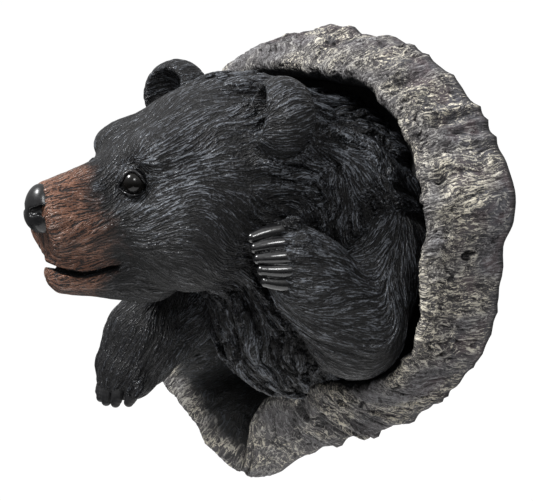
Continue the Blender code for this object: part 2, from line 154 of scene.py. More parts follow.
# Millimetres from the rim to the back edge along the bark, and how finely its painted grain runs each way
PROFILE_LENGTH = 58
BARK_GRAIN = (0.24, 0.24, 0.10)

# The camera: degrees round and above, metres away, focal length and the ring's middle in pixels
CAMERA_AZIMUTH = 50
CAMERA_ELEVATION = 5
CAMERA_DISTANCE = 1.17
FOCAL_PIXELS = 1400
PHOTO_SIZE = (533, 501)
RING_IN_PHOTO = (350, 250)

# Lamps: place and size in metres, and power. The sky's strength goes from the first to the last by height
KEY_LAMP = ((-0.3, -1.55, 1.75), 0.5, 66)
SIDE_LAMP = ((1.8, -1.0, 1.2), 0.5, 17)
SKY_HEIGHTS = (-0.5, 1.0)
SKY_STRENGTHS = (0.05, 0.76)

# The stage, in metres
FLOOR_LEVEL = -1.0
FLOOR_REACH = 1.1
BACKDROP_RADIUS = 8.0

# Vectors and noise


def spread(function, points):
    """The function's values at all points, worked out in chunks side by side."""
    chunks = np.array_split(points, len(points) // CHUNK + 1)
    with ThreadPoolExecutor(WORKERS) as pool:
        return np.concatenate(list(pool.map(function, chunks)))


def unit(vectors):
    """Vectors of length one."""
    lengths = np.sqrt((vectors * vectors).sum(-1, keepdims=True))
    return vectors / np.maximum(lengths, 1e-9)


def smoothstep(low, high, values):
    share = np.clip((values - low) / (high - low), 0, 1)
    return share * share * (3 - 2 * share)


def blended(first, second, share):
    """The first value where the share is 0, and the second where it is 1."""
    return first * (1 - share) + second * share


FACTORS = np.array([73856093, 19349663, 83492791], np.uint32)


def noise(points, seed):
    """Smooth noise from -1 to 1, with features about one unit wide."""
    floor = np.floor(points)
    share = points - floor
    share = share * share * (3 - 2 * share)
    low = floor.astype(np.int32).view(np.uint32) * FACTORS
    low[..., 0] += np.uint32(seed * 2654435761 & 0xFFFFFFFF)
    total = 0.0
    for corner in np.ndindex(2, 2, 2):
        keys = low[..., 0] + FACTORS[0] * np.uint32(corner[0])
        keys = keys + (low[..., 1] + FACTORS[1] * np.uint32(corner[1]))
        keys = keys + (low[..., 2] + FACTORS[2] * np.uint32(corner[2]))
        keys = (keys ^ (keys >> np.uint32(15))) * np.uint32(2246822519)
        keys = (keys ^ (keys >> np.uint32(13))) * np.uint32(3266489917)
        values = ((keys ^ (keys >> np.uint32(16))) & np.uint32(0xFFFFFF)) / 8388607.5 - 1
        for axis in range(3):
            values = values * (share[..., axis] if corner[axis] else 1 - share[..., axis])
        total = total + values
    return total


# Distance functions, negative inside


def ellipsoid(points, centre, radii):
    offset = points - np.array(centre, float)
    scaled = np.sqrt(((offset / radii) ** 2).sum(-1))
    slope = np.sqrt(((offset / np.square(radii)) ** 2).sum(-1))
    return scaled * (scaled - 1) / np.maximum(slope, 1e-6)


def limb(points, start, end, start_radius, end_radius):
    """A tapered limb with round ends."""
    start = np.array(start, float)
    along = np.array(end, float) - start
    share = np.clip(((points - start) @ along) / (along @ along), 0, 1)
    offset = points - start - share[..., None] * along
    radius = start_radius + share * (end_radius - start_radius)
    return np.sqrt((offset * offset).sum(-1)) - radius


def joined(first, second, blend):
    """The union of two shapes, with a fillet of about the given size."""
    mix = np.clip(0.5 + 0.5 * (second - first) / blend, 0, 1)
    return second + mix * (first - second) - blend * mix * (1 - mix)


def cut(first, second, blend):
    """The first shape without the second, with a rounded edge."""
    return -joined(-first, second, blend)


def turned(points, axis, degrees):
    """Points turned about a main axis, 0 to 2, for a shape that is turned the other way."""
    cosine, sine = math.cos(math.radians(degrees)), math.sin(math.radians(degrees))
    first, second = (axis + 1) % 3, (axis + 2) % 3
    result = points.copy()
    result[..., first] = cosine * points[..., first] + sine * points[..., second]
    result[..., second] = cosine * points[..., second] - sine * points[..., first]
    return result


# The log's outline and section


def outline_value(column, degrees):
    """One column of the outline table at each angle, with its corners rounded."""
    angles = [row[0] for row in LOG_OUTLINE]
    values = [row[column] for row in LOG_OUTLINE]
    shifts = np.linspace(-OUTLINE_ROUNDING, OUTLINE_ROUNDING, 9)
    return sum(np.interp(degrees + shift, angles, values, period=360) for shift in shifts) / len(shifts)


def rim_radius(degrees):
    return LOG_RADIUS * outline_value(2, degrees)


def rim_depth(degrees):
    return LOG_DEPTH * outline_value(3, degrees)


def hollow_radius(degrees):
    """The inner wall's radius where it meets the back plate."""
    return np.minimum(rim_radius(degrees) * 0.94 - 0.004, LOG_RADIUS * 0.86)


def section(degrees, share):
    """The log's surface from the foot of its inner wall (0) over the rim (1) to its outer edge (2).

    It gives the radius and the distance from the wall.
    """
    inner = hollow_radius(degrees)
    rim = rim_radius(degrees)
    outer = LOG_RADIUS * outline_value(1, degrees)
    depth = rim_depth(degrees)
    rise = np.clip(share, 0, 1)
    fall = np.clip(share - 1, 0, 1)
    radius_in = inner + (rim - inner) * (0.35 * rise + 0.65 * rise**4)
    height_in = PLATE_THICKNESS + (depth - PLATE_THICKNESS) * (1.25 * rise - 0.25 * rise**5)
    bulge = 2 * fall * (1 - fall)
    radius_out = rim + (outer - rim) * (fall + 0.14 * bulge)
    height_out = depth + (BACK_EDGE - depth) * (fall**1.25 - 0.10 * bulge)
    on_slope = share > 1
    return np.where(on_slope, radius_out, radius_in), np.where(on_slope, height_out, height_in)


def bark(degrees, share):
    """Height of the bark's lumps and radial furrows, in metres."""
    angle = np.radians(degrees)
    ring = np.stack([np.cos(angle) * 3.2, np.sin(angle) * 3.2, share * 1.3], -1)
    lumps = 0.9 * noise(ring, 11)
    ridge_place = np.stack([np.cos(angle) * 11, np.sin(angle) * 11, share * 1.1], -1)
    furrows = 1 - 2 * np.abs(noise(ridge_place + 0.4 * noise(ring * 2, 12)[..., None], 13))
    outside = smoothstep(0.55, 1.15, share)
    return FURROW_DEPTH * (lumps + furrows) * (0.3 + 0.7 * outside)


def carved_section(degrees, share):
    """The section with its bark: the relief pushes out from the wood all round."""
    radius, height = section(degrees, share)
    relief = bark(degrees, share)
    outward = np.interp(share, (0, 0.88, 1.0, 1.2, 2.0), (-1.0, -0.7, 0.0, 1.0, 1.0))
    forward = np.interp(share, (0, 0.6, 1.0, 1.6, 2.0), (0.0, 0.3, 1.0, 0.5, 0.0))
    return radius + relief * outward, height + relief * forward


def log_distance(points):
    """Roughly the distance from world points to the log's walls, for keeping the bear clear of them."""
    degrees = np.degrees(np.arctan2(points[..., 2], points[..., 0]))
    radius = np.hypot(points[..., 0], points[..., 2])
    height = -points[..., 1]
    shares = np.linspace(0, 1, 33)
    heights = 1.25 * shares - 0.25 * shares**5
    level = np.clip((height - PLATE_THICKNESS) / (rim_depth(degrees) - PLATE_THICKNESS), 0, 1)
    wall = carved_section(degrees, np.interp(level, heights, shares))[0]
    crest = [carved_section(degrees, np.full(degrees.shape, share))[1] for share in (1.0, 1.08)]
    rim_top = np.maximum(*crest)
    inside_wall = wall - radius
    above_rim = height - rim_top
    corner = np.hypot(np.maximum(inside_wall, 0), np.maximum(above_rim, 0))
    return np.where((inside_wall > 0) | (above_rim > 0), corner, np.maximum(inside_wall, above_rim))


# The bear, in hundredths of its head length


def head_axes():
    """Forward, left and up of the head, as rows."""
    yaw = math.radians(HEAD_YAW)
    roll = math.radians(HEAD_ROLL)
    forward = np.array([-math.sin(yaw), -math.cos(yaw), 0.0])
    level = np.array([math.cos(yaw), -math.sin(yaw), 0.0])
    left = level * math.cos(roll) - np.array([0, 0, 1.0]) * math.sin(roll)
    return np.stack([forward, left, np.cross(left, -forward)])


def in_head(points):
    """Bear points as forward, left and up from the middle between the ears."""
    return (points - HEAD_PLACE) @ head_axes().T


def mirrored(local):
    """Head points with both sides folded onto the left one."""
    return np.stack([local[..., 0], np.abs(local[..., 1]), local[..., 2]], -1)


def mouth_line(forward):
    """Height of the mouth line at each distance forward."""
    return -22.6 - 2.4 * np.sin((forward - 57) / 28 * math.pi) ** 2 + 1.6 * smoothstep(80, 87, forward)


def skull(local):
    shape = ellipsoid(turned(local - [9, 0, 12], 1, 13), (0, 0, 0), (47, 37, 37))
    brows = ellipsoid(mirrored(local), (44.5, 14, 21), (12, 12, 10))
    shape = joined(shape, brows, 9)
    cheeks = ellipsoid(mirrored(local), (29, 17, -8), (25, 22, 24))
    return joined(shape, cheeks, 12)


def muzzle(local):
    flat = local * np.array([1, 0.96, 1])
    snout = limb(flat, (50, 0, -4), (79, 0, -7.5), 19, 12.8)
    bridge = limb(local, (46, 0, 14), (85, 0, 2), 10, 7.5)
    ahead = local[..., 0] - 88 + 0.35 * np.maximum(0, -4 - local[..., 2])
    return cut(joined(snout, bridge, 8), -ahead, 3)


def jaw(local):
    flat = local * np.array([1, 1.1, 1])
    return limb(flat, (38, 0, -25), (74, 0, -25), 15, 9)


def nose_pad(local):
    fold = mirrored(local)
    pad = ellipsoid(local, (86.6, 0, 0), (5.8, 6.8, 9.4))
    wing = ellipsoid(fold, (86, 4.2, -3), (4.3, 3.6, 5.2))
    nostril = joined(
        limb(fold, (91.5, 3.2, -0.8), (88.8, 5.6, 0.4), 1.5, 1.7),
        limb(fold, (88.8, 5.6, 0.4), (85.5, 7.4, -4.5), 1.7, 0.9),
        0.6,
    )
    groove = limb(local, (92.6, 0, -9), (93.2, 0, -4), 0.9, 0.4)
    return cut(cut(joined(pad, wing, 3), nostril, 0.8), groove, 0.6)


EYE_CENTRE = np.array([55.5, 15.1, 11.5])
EYE_RADIUS = 4.7
EYE_AXIS = unit(np.array([0.52, 0.85, 0.06]))

# Edge of the lids round the eyeball: backwards and upwards from its middle
EYE_OUTLINE = (
    (6.3, -3.1),
    (4.6, 0.2),
    (2.6, 3.0),
    (0.4, 4.5),
    (-1.8, 4.4),
    (-3.6, 2.9),
    (-4.5, 0.4),
    (-6.0, -2.3),
    (-3.8, -3.6),
    (-1.0, -4.7),
    (2.4, -4.4),
)
EYE_BACK = np.cross((0, 0, 1.0), EYE_AXIS)
EYE_CORNERS = [EYE_CENTRE - EYE_BACK * 6.0 + [0, 0, -2.2], EYE_CENTRE + EYE_BACK * 6.0 + [0, 0, -3.0]]
FAR_EYE_SUNK = 0.8
LID_RADIUS = 5.3
LID_SINK = 0.3


def ear(local, side):
    """A deep round cup that opens forwards and a little inwards."""
    place = local * np.array([1, side, 1]) - np.array([6, 39, 39.5])
    place = turned(place, 2, -18)
    shell = ellipsoid(place, (0, 0, 0), (13, 15, 15.5))
    bowl = ellipsoid(place, (12.5, -0.5, 1), (12.5, 10, 11))
    return cut(shell, bowl, 2)


def head_without_mouth(local):
    shape = joined(skull(local), muzzle(local), 10)
    return joined(shape, jaw(local), 5)


def head(points):
    local = in_head(points)
    shape = head_without_mouth(local)
    fold = mirrored(local)
    socket = ellipsoid(fold, (60.2, 18.6, 11.5), (8, 6, 7))
    shape = cut(shape, socket, 5)
    lids = ellipsoid(fold, EYE_CENTRE - 1.6 * EYE_AXIS, (6.0, 6.0, 5.8))
    shape = joined(shape, lids, 2)
    opening = ellipsoid(fold, EYE_CENTRE + 2.0 * EYE_AXIS, (5.2, 5.2, 5.2))
    corners = limb(fold, *EYE_CORNERS, 0.9, 0.9)
    shape = cut(shape, joined(opening, corners, 1), 0.5)
    gap = np.abs(local[..., 2] - mouth_line(local[..., 0])) - 1.1
    mouth = np.maximum(np.maximum(gap, 57 - local[..., 0]), -4.2 - shape)
    shape = cut(shape, mouth, 0.8)
    for side in (NEAR_SIDE, FAR_SIDE):
        shape = joined(shape, ear(local, side), 3)
    return shape


def trunk(points):
    """Neck, shoulders and chest, down to the flat back."""
    neck = limb(points, (-3, -46, 29), (0, -4, 8), 43, 50)
    shoulders = ellipsoid(points, (0, -6, 4), (51, 40, 64))
    chest = ellipsoid(points, (1, -30, -16), (34, 34, 42))
    return joined(joined(neck, shoulders, 12), chest, 14)


def fan(first, last, bulge, count=5):
    """Points from first to last, pushed out in the middle by the bulge."""
    shares = np.linspace(0, 1, count)
    first, last, bulge = (np.array(place, float) for place in (first, last, bulge))
    return [first + (last - first) * t + bulge * 4 * t * (1 - t) for t in shares]


# Shoulder, elbow, wrist and paw of each arm
NEAR_JOINTS = ((40, -12, 2), (46, -34, -25.5), (42, -55, -4), (40, -61, 4))
FAR_JOINTS = ((-34, -16, 4), (-38, -36, -8), (-45.5, -70, -36), (-46.5, -79, -49))

NEAR_ROOTS = fan((41, -69, 14.5), (46, -67.5, -5.5), (4, -1, 0.5))
NEAR_TIPS = fan((37, -79, 12), (42.5, -77, -4.5), (1.5, -1.5, 0.5))
FAR_ROOTS = fan((-59.5, -82, -55), (-35.5, -84, -56), (0, -5, 0))
FAR_TIPS = fan((-58.5, -86, -60), (-36.5, -86, -61.5), (0, -4, -1.5))
CLAW_RADIUS = 3.0
CLAW_TAPER = 0.30
CLAW_BEND = 0.6
CLAW_STEPS = 5


def toes(points, roots, tips, back, radius):
    """Round toe folds behind the claws."""
    shape = None
    for root, tip in zip(roots, tips):
        inward = root + (root - tip) * back
        one = limb(points, inward, root, radius, radius * 0.9)
        shape = one if shape is None else joined(shape, one, 0.7)
    return shape


def arm(points, joints, radii, blends):
    """An upper arm, a forearm and a paw, each tapered from one joint to the next."""
    upper, fore, paw = (limb(points, joints[part], joints[part + 1], *radii[part]) for part in range(3))
    return joined(joined(upper, fore, blends[0]), paw, blends[1])


def near_arm(points):
    return arm(points, NEAR_JOINTS, ((20, 19), (20, 15.5), (15, 12.5)), (4, 5))


def far_arm(points):
    return arm(points, FAR_JOINTS, ((24, 22), (21, 17), (17, 14)), (6, 6))


def near_arm_with_toes(points):
    return joined(near_arm(points), toes(points, NEAR_ROOTS, NEAR_TIPS, 0.5, 3.1), 1.6)


def far_arm_with_toes(points):
    return joined(far_arm(points), toes(points, FAR_ROOTS, FAR_TIPS, 0.8, 3.6), 1.6)


def claw_row(points, roots, tips, thickness):
    """A row of claws, each bent a little and tapered to a blunt point."""
    shape = np.inf
    middle = sum(roots) / len(roots)
    shares = np.linspace(0, 1, CLAW_STEPS + 1)[:, None]
    widths = thickness * (1 - CLAW_TAPER * shares[:, 0] ** 2)
    for root, tip in zip(roots, tips):
        bend = (root + tip) / 2 + unit(root - middle + 1e-6) * CLAW_BEND
        line = root * (1 - shares) ** 2 + bend * 2 * shares * (1 - shares) + tip * shares**2
        for step in range(CLAW_STEPS):
            shape = np.minimum(shape, limb(points, line[step], line[step + 1], *widths[step : step + 2]))
    return shape


def near_claws(points):
    return claw_row(points, NEAR_ROOTS, NEAR_TIPS, CLAW_RADIUS)


def far_claws(points):
    return claw_row(points, FAR_ROOTS, FAR_TIPS, CLAW_RADIUS)


def nose_on_head(points):
    return nose_pad(in_head(points))


def smooth_body(points):
    return joined(head(points), trunk(points), 12)


# Fur


def grain(points):
    """Direction in which the hair lies, not yet laid along the surface."""
    local = in_head(points)
    forward, _, up = head_axes()
    height = local[..., 2:3]
    back = local[..., 0:1]
    side = np.abs(local[..., 1:2])
    drop = smoothstep(48, 22, back) * smoothstep(26, -8, height) * smoothstep(8, 26, side)
    on_head = -forward + (0.25 * (1 - drop) - 0.8 * drop) * up
    on_neck = np.array([0.0, 0.55, 0.0]) + np.array([0, 0, -0.9]) * smoothstep(70, 20, points[..., 2:3])
    flow = blended(on_head, on_neck, smoothstep(6, -12, back))
    chest_share = smoothstep(-28, -46, height) * smoothstep(60, 40, back)
    flow = blended(flow, np.array([0.05, 0.25, -1.0]), chest_share)
    turn = smoothstep(-42, -26, points[..., 1:2])
    on_near = blended(np.array([0.6, 0.75, -0.3]), np.array([0.1, 0.15, 1.0]), turn)
    body = trunk(points)
    flow = blended(flow, on_near, smoothstep(3, 0, near_arm(points) - body)[..., None])
    far_share = smoothstep(3, 0, far_arm(points) - body)[..., None]
    return blended(flow, np.array([-0.1, -0.45, -1.0]), far_share)


def laid(flow, normals, angle):
    """The flow laid along the surface and turned sideways by the angle."""
    flow = unit(flow - normals * (flow * normals).sum(-1, keepdims=True))
    across = np.cross(normals, flow)
    return flow * np.cos(angle)[..., None] + across * np.sin(angle)[..., None]


def curliness(points):
    """Share from 0 to 1 of curly hair: high behind the cheeks and on the neck."""
    local = in_head(points)
    behind = smoothstep(24, 4, local[..., 0]) * smoothstep(-75, -45, local[..., 0])
    return behind * smoothstep(45, 25, local[..., 2]) * smoothstep(4, 10, near_arm(points))


def on_ears(local):
    return smoothstep(3, 0, np.minimum(ear(local, NEAR_SIDE), ear(local, FAR_SIDE)))


def on_arms(points):
    return smoothstep(3, 0, np.minimum(near_arm(points), far_arm(points)))


def shagginess(points):
    """Share from 0 to 1 of long deep hair: none on the face and ears, all on neck and chest."""
    local = in_head(points)
    face = smoothstep(0, 26, local[..., 0]) * smoothstep(-60, -34, local[..., 2])
    return 1 - np.maximum(np.maximum(face, on_ears(local)), 0.85 * on_arms(points))


def bare(points):
    """Share from 0 to 1 without locks: all of the face, ears and claws, and most of the arms."""
    local = in_head(points)
    face = smoothstep(2, 28, local[..., 0]) * smoothstep(-55, -30, local[..., 2])
    near_nails = claw_row(points, NEAR_ROOTS, NEAR_TIPS, 2.7)
    nails = np.minimum(near_nails, claw_row(points, FAR_ROOTS, FAR_TIPS, 3.2))
    smooth = np.maximum(face, 0.75 * on_arms(points))
    return np.maximum(smooth, np.maximum(on_ears(local), smoothstep(4, 0, nails)))


def streaks(points, direction_at, width, length, steps, seed):
    """Noise drawn out along the hair, from about -1 to 1. The length may differ from point to point."""
    total = noise(points / width, seed)
    for way in (1, -1):
        place = points
        for _ in range(steps):
            place = place + way * length / steps * direction_at(place)
            total = total + noise(place / width, seed)
    return np.clip(total / math.sqrt(2 * steps + 1) * 1.25, -1, 1)


def distance_grid(distance, low, high, step):
    """The points of a grid from low to high, and their distances."""
    counts = np.ceil((np.array(high) - low) / step).astype(int) + 1
    axes = [low[axis] + step * np.arange(counts[axis]) for axis in range(3)]
    points = np.stack(np.meshgrid(*axes, indexing="ij"), -1)
    return points, spread(distance, points.reshape(-1, 3)).reshape(counts)


class HairField:
    """Hair directions over a grid, looked up at any point: for the locks and for the strands."""

    def __init__(self, distance, low, high, step):
        self.distance = distance
        self.low = np.array(low, float)
        self.step = step
        self.points, self.values = distance_grid(distance, self.low, high, step)
        near = np.abs(self.values) < 5 * step
        slopes = np.stack([slope[near] for slope in np.gradient(self.values, step)], -1)
        stacked = np.concatenate([self.points[near], unit(slopes)], -1)
        found = spread(self.directions_for, stacked)
        self.index = np.full(self.values.shape, len(found), np.int32)
        self.index[near] = np.arange(len(found))
        self.table = np.concatenate([found, np.zeros((1, 6))])

    @staticmethod
    def directions_for(stacked):
        points, normals = stacked[:, :3], stacked[:, 3:]
        flow = grain(points)
        slow = 0.5 * noise(points / 13, 21)
        curl = slow + 1.1 * curliness(points) * noise(points / 8.5, 22) + 0.12 * noise(points / 6, 23)
        return np.concatenate([laid(flow, normals, slow), laid(flow, normals, curl)], -1)

    def row_at(self, points):
        top = np.array(self.index.shape) - 1
        cells = np.clip(np.rint((points - self.low) / self.step).astype(int), 0, top)
        return self.table[self.index[tuple(cells.T)]]

    def lock_direction(self, points):
        return self.row_at(points)[:, :3]

    def strand_direction(self, points):
        return self.row_at(points)[:, 3:]

    def locks(self, points):
        """The large locks, as in the solid."""
        return streaks(points, self.lock_direction, 4.4, 14, 6, 31)

    def lock_relief(self, points):
        return LOCK_RELIEF / UNIT * self.locks(points) * (1 - bare(points))

    def tufts(self, points):
        """Tufts with round backs and narrow deep gaps."""
        drawn = streaks(points, self.strand_direction, 2.9, 15, 7, 41)
        return 1 - 2 * np.exp(-((drawn / 0.2) ** 2))

    def strands(self, points):
        """Single strands, short on the face and long on the neck."""
        shaggy = shagginess(points)
        length = (5.0 + 5.0 * shaggy)[:, None]
        return streaks(points, self.strand_direction, 1.5, length, 6, 42)

    def strand_relief(self, points):
        """Relief of tufts and strands, in bear units."""
        shaggy = shagginess(points)
        tufts = 0.85 * shaggy * self.tufts(points)
        relief = tufts + (0.20 + 0.24 * shaggy) * self.strands(points)
        return relief * smoothstep(-4, -18, points[:, 1])


# Meshing


TETRAHEDRA = ((0, 5, 1, 6), (0, 1, 2, 6), (0, 2, 3, 6), (0, 3, 7, 6), (0, 7, 4, 6), (0, 4, 5, 6))
CORNERS = np.array([(0, 0, 0), (1, 0, 0), (1, 1, 0), (0, 1, 0), (0, 0, 1), (1, 0, 1), (1, 1, 1), (0, 1, 1)])


def is_even(order):
    return np.linalg.det(np.eye(4)[list(order)]) > 0


EVEN_ORDERS = [order for order in np.ndindex(4, 4, 4, 4) if len(set(order)) == 4 and is_even(order)]


def tetrahedron_edges(inside):
    """For each pattern of inside corners, the crossed edges of its triangles, wound to face out."""
    inner = [corner for corner in range(4) if inside >> corner & 1]
    if len(inner) in (0, 4):
        return []
    if len(inner) == 2:
        a, b, c, d = next(order for order in EVEN_ORDERS if order[:2] == tuple(inner))
        return [((a, c), (a, d), (b, d)), ((a, c), (b, d), (b, c))]
    lone = inner[0] if len(inner) == 1 else next(corner for corner in range(4) if corner not in inner)
    a, b, c, d = next(order for order in EVEN_ORDERS if order[0] == lone)
    triangle = ((a, b), (a, c), (a, d))
    return [triangle] if len(inner) == 1 else [triangle[::-1]]


def surface_of(values, low, step):
    """Points and triangles of the zero surface of a grid of distances."""
    tiny = step * 0.04
    close = np.abs(values) < tiny
    values[close] = np.where(values[close] < 0, -tiny, tiny)
    shape = np.array(values.shape)
    flat = values.reshape(-1)
    strides = np.array([shape[1] * shape[2], shape[2], 1])
    inside = values < 0
    count = np.zeros(shape - 1, np.int8)
    for x, y, z in CORNERS:
        count += inside[x : x + shape[0] - 1, y : y + shape[1] - 1, z : z + shape[2] - 1]
    cells = np.argwhere((count > 0) & (count < 8)) @ strides
    corners = cells[:, None] + (CORNERS @ strides)[None]
    rows = []
    for tetrahedron in TETRAHEDRA:
        nodes = corners[:, list(tetrahedron)]
        pattern = (flat[nodes] < 0) @ np.array([1, 2, 4, 8])
        for case in range(1, 15):
            chosen = nodes[pattern == case]
            for triangle in tetrahedron_edges(case):
                rows.append(np.stack([np.sort(chosen[:, edge], axis=1) for edge in map(list, triangle)], 1))
    pairs = np.concatenate(rows)
    keys = pairs[..., 0] * flat.size + pairs[..., 1]
    found, index = np.unique(keys, return_inverse=True)
    first, second = found // flat.size, found % flat.size
    share = flat[first] / (flat[first] - flat[second])
    start = np.stack(np.unravel_index(first, values.shape), -1)
    end = np.stack(np.unravel_index(second, values.shape), -1)
    return low + step * (start + share[:, None] * (end - start)), index.reshape(-1, 3)


def doubled(values):
    """A grid of values at half its step, filled in between."""
    for axis in range(3):
        rows = np.moveaxis(values, axis, 0)
        finer = np.repeat(rows, 2, axis=0)[:-1]
        finer[1::2] = (rows[:-1] + rows[1:]) / 2
        values = np.moveaxis(finer, 0, axis)
    return np.ascontiguousarray(values)


def fine_surface(distance, coarse, low, step):
    """The surface of an exact distance, from its coarse grid, at half the coarse step."""
    finer = doubled(coarse)
    near = np.argwhere(np.abs(finer) < 1.3 * step)
    places = low + near * (step / 2)
    finer[tuple(near.T)] = spread(distance, places)
    return surface_of(finer, low, step / 2)


def to_world(points):
    """Bear points in metres, where the part stands."""
    return points * UNIT + np.array([0, -(PLATE_THICKNESS + SEAT_GAP), 0])


def from_world(points):
    return (points - np.array([0, -(PLATE_THICKNESS + SEAT_GAP), 0])) / UNIT


# Objects


def mesh_from(name, points, triangles):
    """A mesh of points and triangles."""
    mesh = bpy.data.meshes.new(name)
    mesh.vertices.add(len(points))
    mesh.vertices.foreach_set("co", np.asarray(points, np.float32).reshape(-1))
    mesh.loops.add(triangles.size)
    mesh.loops.foreach_set("vertex_index", np.asarray(triangles, np.int32).reshape(-1))
    mesh.polygons.add(len(triangles))
    mesh.polygons.foreach_set("loop_start", np.arange(0, triangles.size, 3, dtype=np.int32))
    mesh.update(calc_edges=True)
    return mesh


def vertex_data(mesh, name):
    """The places ("co") or normals ("normal") of a mesh's points."""
    data = np.empty(len(mesh.vertices) * 3, np.float32)
    mesh.vertices.foreach_get(name, data)
    return data.reshape(-1, 3).astype(float)


def linked(name, data):
    """A new object in the scene, with its mesh, lamp or lens."""
    made = bpy.data.objects.new(name, data)
    bpy.context.scene.collection.objects.link(made)
    return made


def add_object(name, mesh, finish, slot=None):
    """An object with its material. Given a slot name, a piece of the part rides on the root."""
    made = linked(name, mesh)
    mesh.materials.append(finish)
    if slot:
        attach(made, "root")
    return made


def fewer(name, mesh, triangles):
    """The mesh brought down to about that many triangles, if it has more."""
    carrier = linked(name + "_dense", mesh)
    change = carrier.modifiers.new("facets", "DECIMATE")
    change.ratio = min(1.0, triangles / len(mesh.polygons))
    change.use_collapse_triangulate = True
    depsgraph = bpy.context.evaluated_depsgraph_get()
    made = bpy.data.meshes.new_from_object(carrier.evaluated_get(depsgraph))
    made.name = name
    bpy.data.objects.remove(carrier)
    bpy.data.meshes.remove(mesh)
    made.shade_smooth()
    return made


def set_number(mesh, name, values):
    mesh.attributes.new(name, "FLOAT", "POINT").data.foreach_set("value", np.asarray(values, np.float32))


def set_vector(mesh, name, values):
    data = np.asarray(values, np.float32).reshape(-1)
    mesh.attributes.new(name, "FLOAT_VECTOR", "POINT").data.foreach_set("vector", data)


# Furry pieces


def brown_share(points):
    """Share from 0 to 1 of the muzzle's brown, with a soft edge that leans back towards the jaw."""
    local = in_head(points)
    forward = local[..., 0]
    edge = np.interp(local[..., 2], BROWN_HEIGHTS, BROWN_EDGES)
    ragged = 3.5 * noise(points / 6, 51) + 2.5 * noise(points / 2.2, 52)
    lips = smoothstep(1.9, 1.2, np.abs(local[..., 2] - mouth_line(forward))) * smoothstep(55, 57, forward)
    outside_mouth = 1 - lips * smoothstep(-0.3, -1.2, head_without_mouth(local))
    return smoothstep(-8, 6, forward - edge + ragged) * smoothstep(8, 14, near_arm(points)) * outside_mouth


def brushing_and_top_light_share(points):
    """Share from 0 to 1 of pale dry-brushing with painted light from above: most round the eyes, on the
    forehead and on the forearms, and more towards the top of the head and the top of the forearm.
    """
    local = in_head(points)
    fold = mirrored(local)
    away = np.sqrt((((fold - [40, 22, 12]) / [34, 26, 24]) ** 2).sum(-1))
    face = smoothstep(1.3, 0.2, away)
    # Painted light from above: the forearm's brushing grows towards its top.
    arms = 0.6 * smoothstep(4, 0, near_arm(points)) * smoothstep(-48, -10, points[..., 2])
    # Painted light from above: more brushing towards the top of the head.
    crown = 0.5 * smoothstep(10, 36, local[..., 2])
    spots = 0.5 + 0.5 * noise(points / 7, 53)
    neck = 0.55 * curliness(points)
    share = np.maximum(np.maximum(face, arms), np.maximum(crown, neck))
    return np.clip(share * (0.5 + 0.6 * spots) + 0.03, 0, 1)


def fur_attributes(mesh, field):
    """What the fur's paint depends on, at each point of the final mesh."""
    points = from_world(vertex_data(mesh, "co"))
    functions = (field.locks, field.tufts, field.strands, shagginess)
    locks, tufts, strands, shaggy = (spread(function, points) for function in functions)
    ridge = 0.5 + 0.5 * shaggy * (0.4 * locks + 0.6 * tufts) + (0.16 + 0.04 * shaggy) * strands
    set_number(mesh, "ridge", np.clip(ridge, 0, 1))
    set_number(mesh, "brown", spread(brown_share, points))
    set_number(mesh, "brush_and_top_light", spread(brushing_and_top_light_share, points))
    length = 0.00045 + 0.00015 * shaggy
    set_vector(mesh, "flow", spread(field.strand_direction, points) * length[:, None])


def whole(points):
    """Far below zero everywhere: a piece without a seam."""
    return np.full(points.shape[:-1], -9.0)


def face_side(points):
    """Below zero on the face's side of the seam between the head and the neck."""
    return SEAM_PLACE - in_head(points)[..., 0]


def neck_side(points):
    return -face_side(points)


def furry_piece(name, field, triangles, finish, side=whole):
    """A closed piece of the bear with its fur. Past its side it sinks under its neighbour."""

    def exact(points):
        furred = field.distance(points)
        close = np.abs(furred) < LOCK_REACH
        relief = field.lock_relief(points[close])
        furred[close] -= relief * smoothstep(LOCK_REACH, LOCK_REACH / 2, np.abs(furred[close]))
        world = to_world(points)
        beside = world[:, 1] > -2 * LOG_DEPTH
        furred[beside] = np.maximum(furred[beside], (LOG_CLEARANCE - log_distance(world[beside])) / UNIT)
        beyond = side(points)
        sunk = furred + SEAM_SINK * smoothstep(SEAM_START, SEAM_OVERLAP, beyond)
        return np.maximum(np.maximum(sunk, beyond - SEAM_OVERLAP), points[:, 1])

    beyond = side(field.points)
    near = (np.abs(field.values) < 5 * field.step) & (beyond < 5 * field.step)
    coarse = np.maximum(np.maximum(field.values, field.points[..., 1]), beyond - SEAM_OVERLAP)
    coarse[near] = spread(exact, field.points[near])
    places, faces = fine_surface(exact, coarse, field.low, field.step)
    mesh = mesh_from(name, places, faces)
    share = smoothstep(SEAM_OVERLAP, SEAM_START, side(places))[:, None]
    places = places + vertex_data(mesh, "normal") * spread(field.strand_relief, places)[:, None] * share
    mesh.vertices.foreach_set("co", to_world(places).astype(np.float32).reshape(-1))
    mesh.update()
    mesh = fewer(name, mesh, triangles)
    fur_attributes(mesh, field)
    return add_object(name, mesh, finish, "black_fur")


def detail_piece(name, distance, low, high, finish):
    """A small smooth piece of the bear, such as its claws."""
    low = np.array(low, float)
    step = DETAIL_GRID / UNIT
    values = distance_grid(distance, low, high, step)[1]
    places, faces = surface_of(values, low, step)
    mesh = fewer(name, mesh_from(name, to_world(places), faces), DETAIL_TRIANGLES)
    return add_object(name, mesh, finish, "black_fur")


# Materials


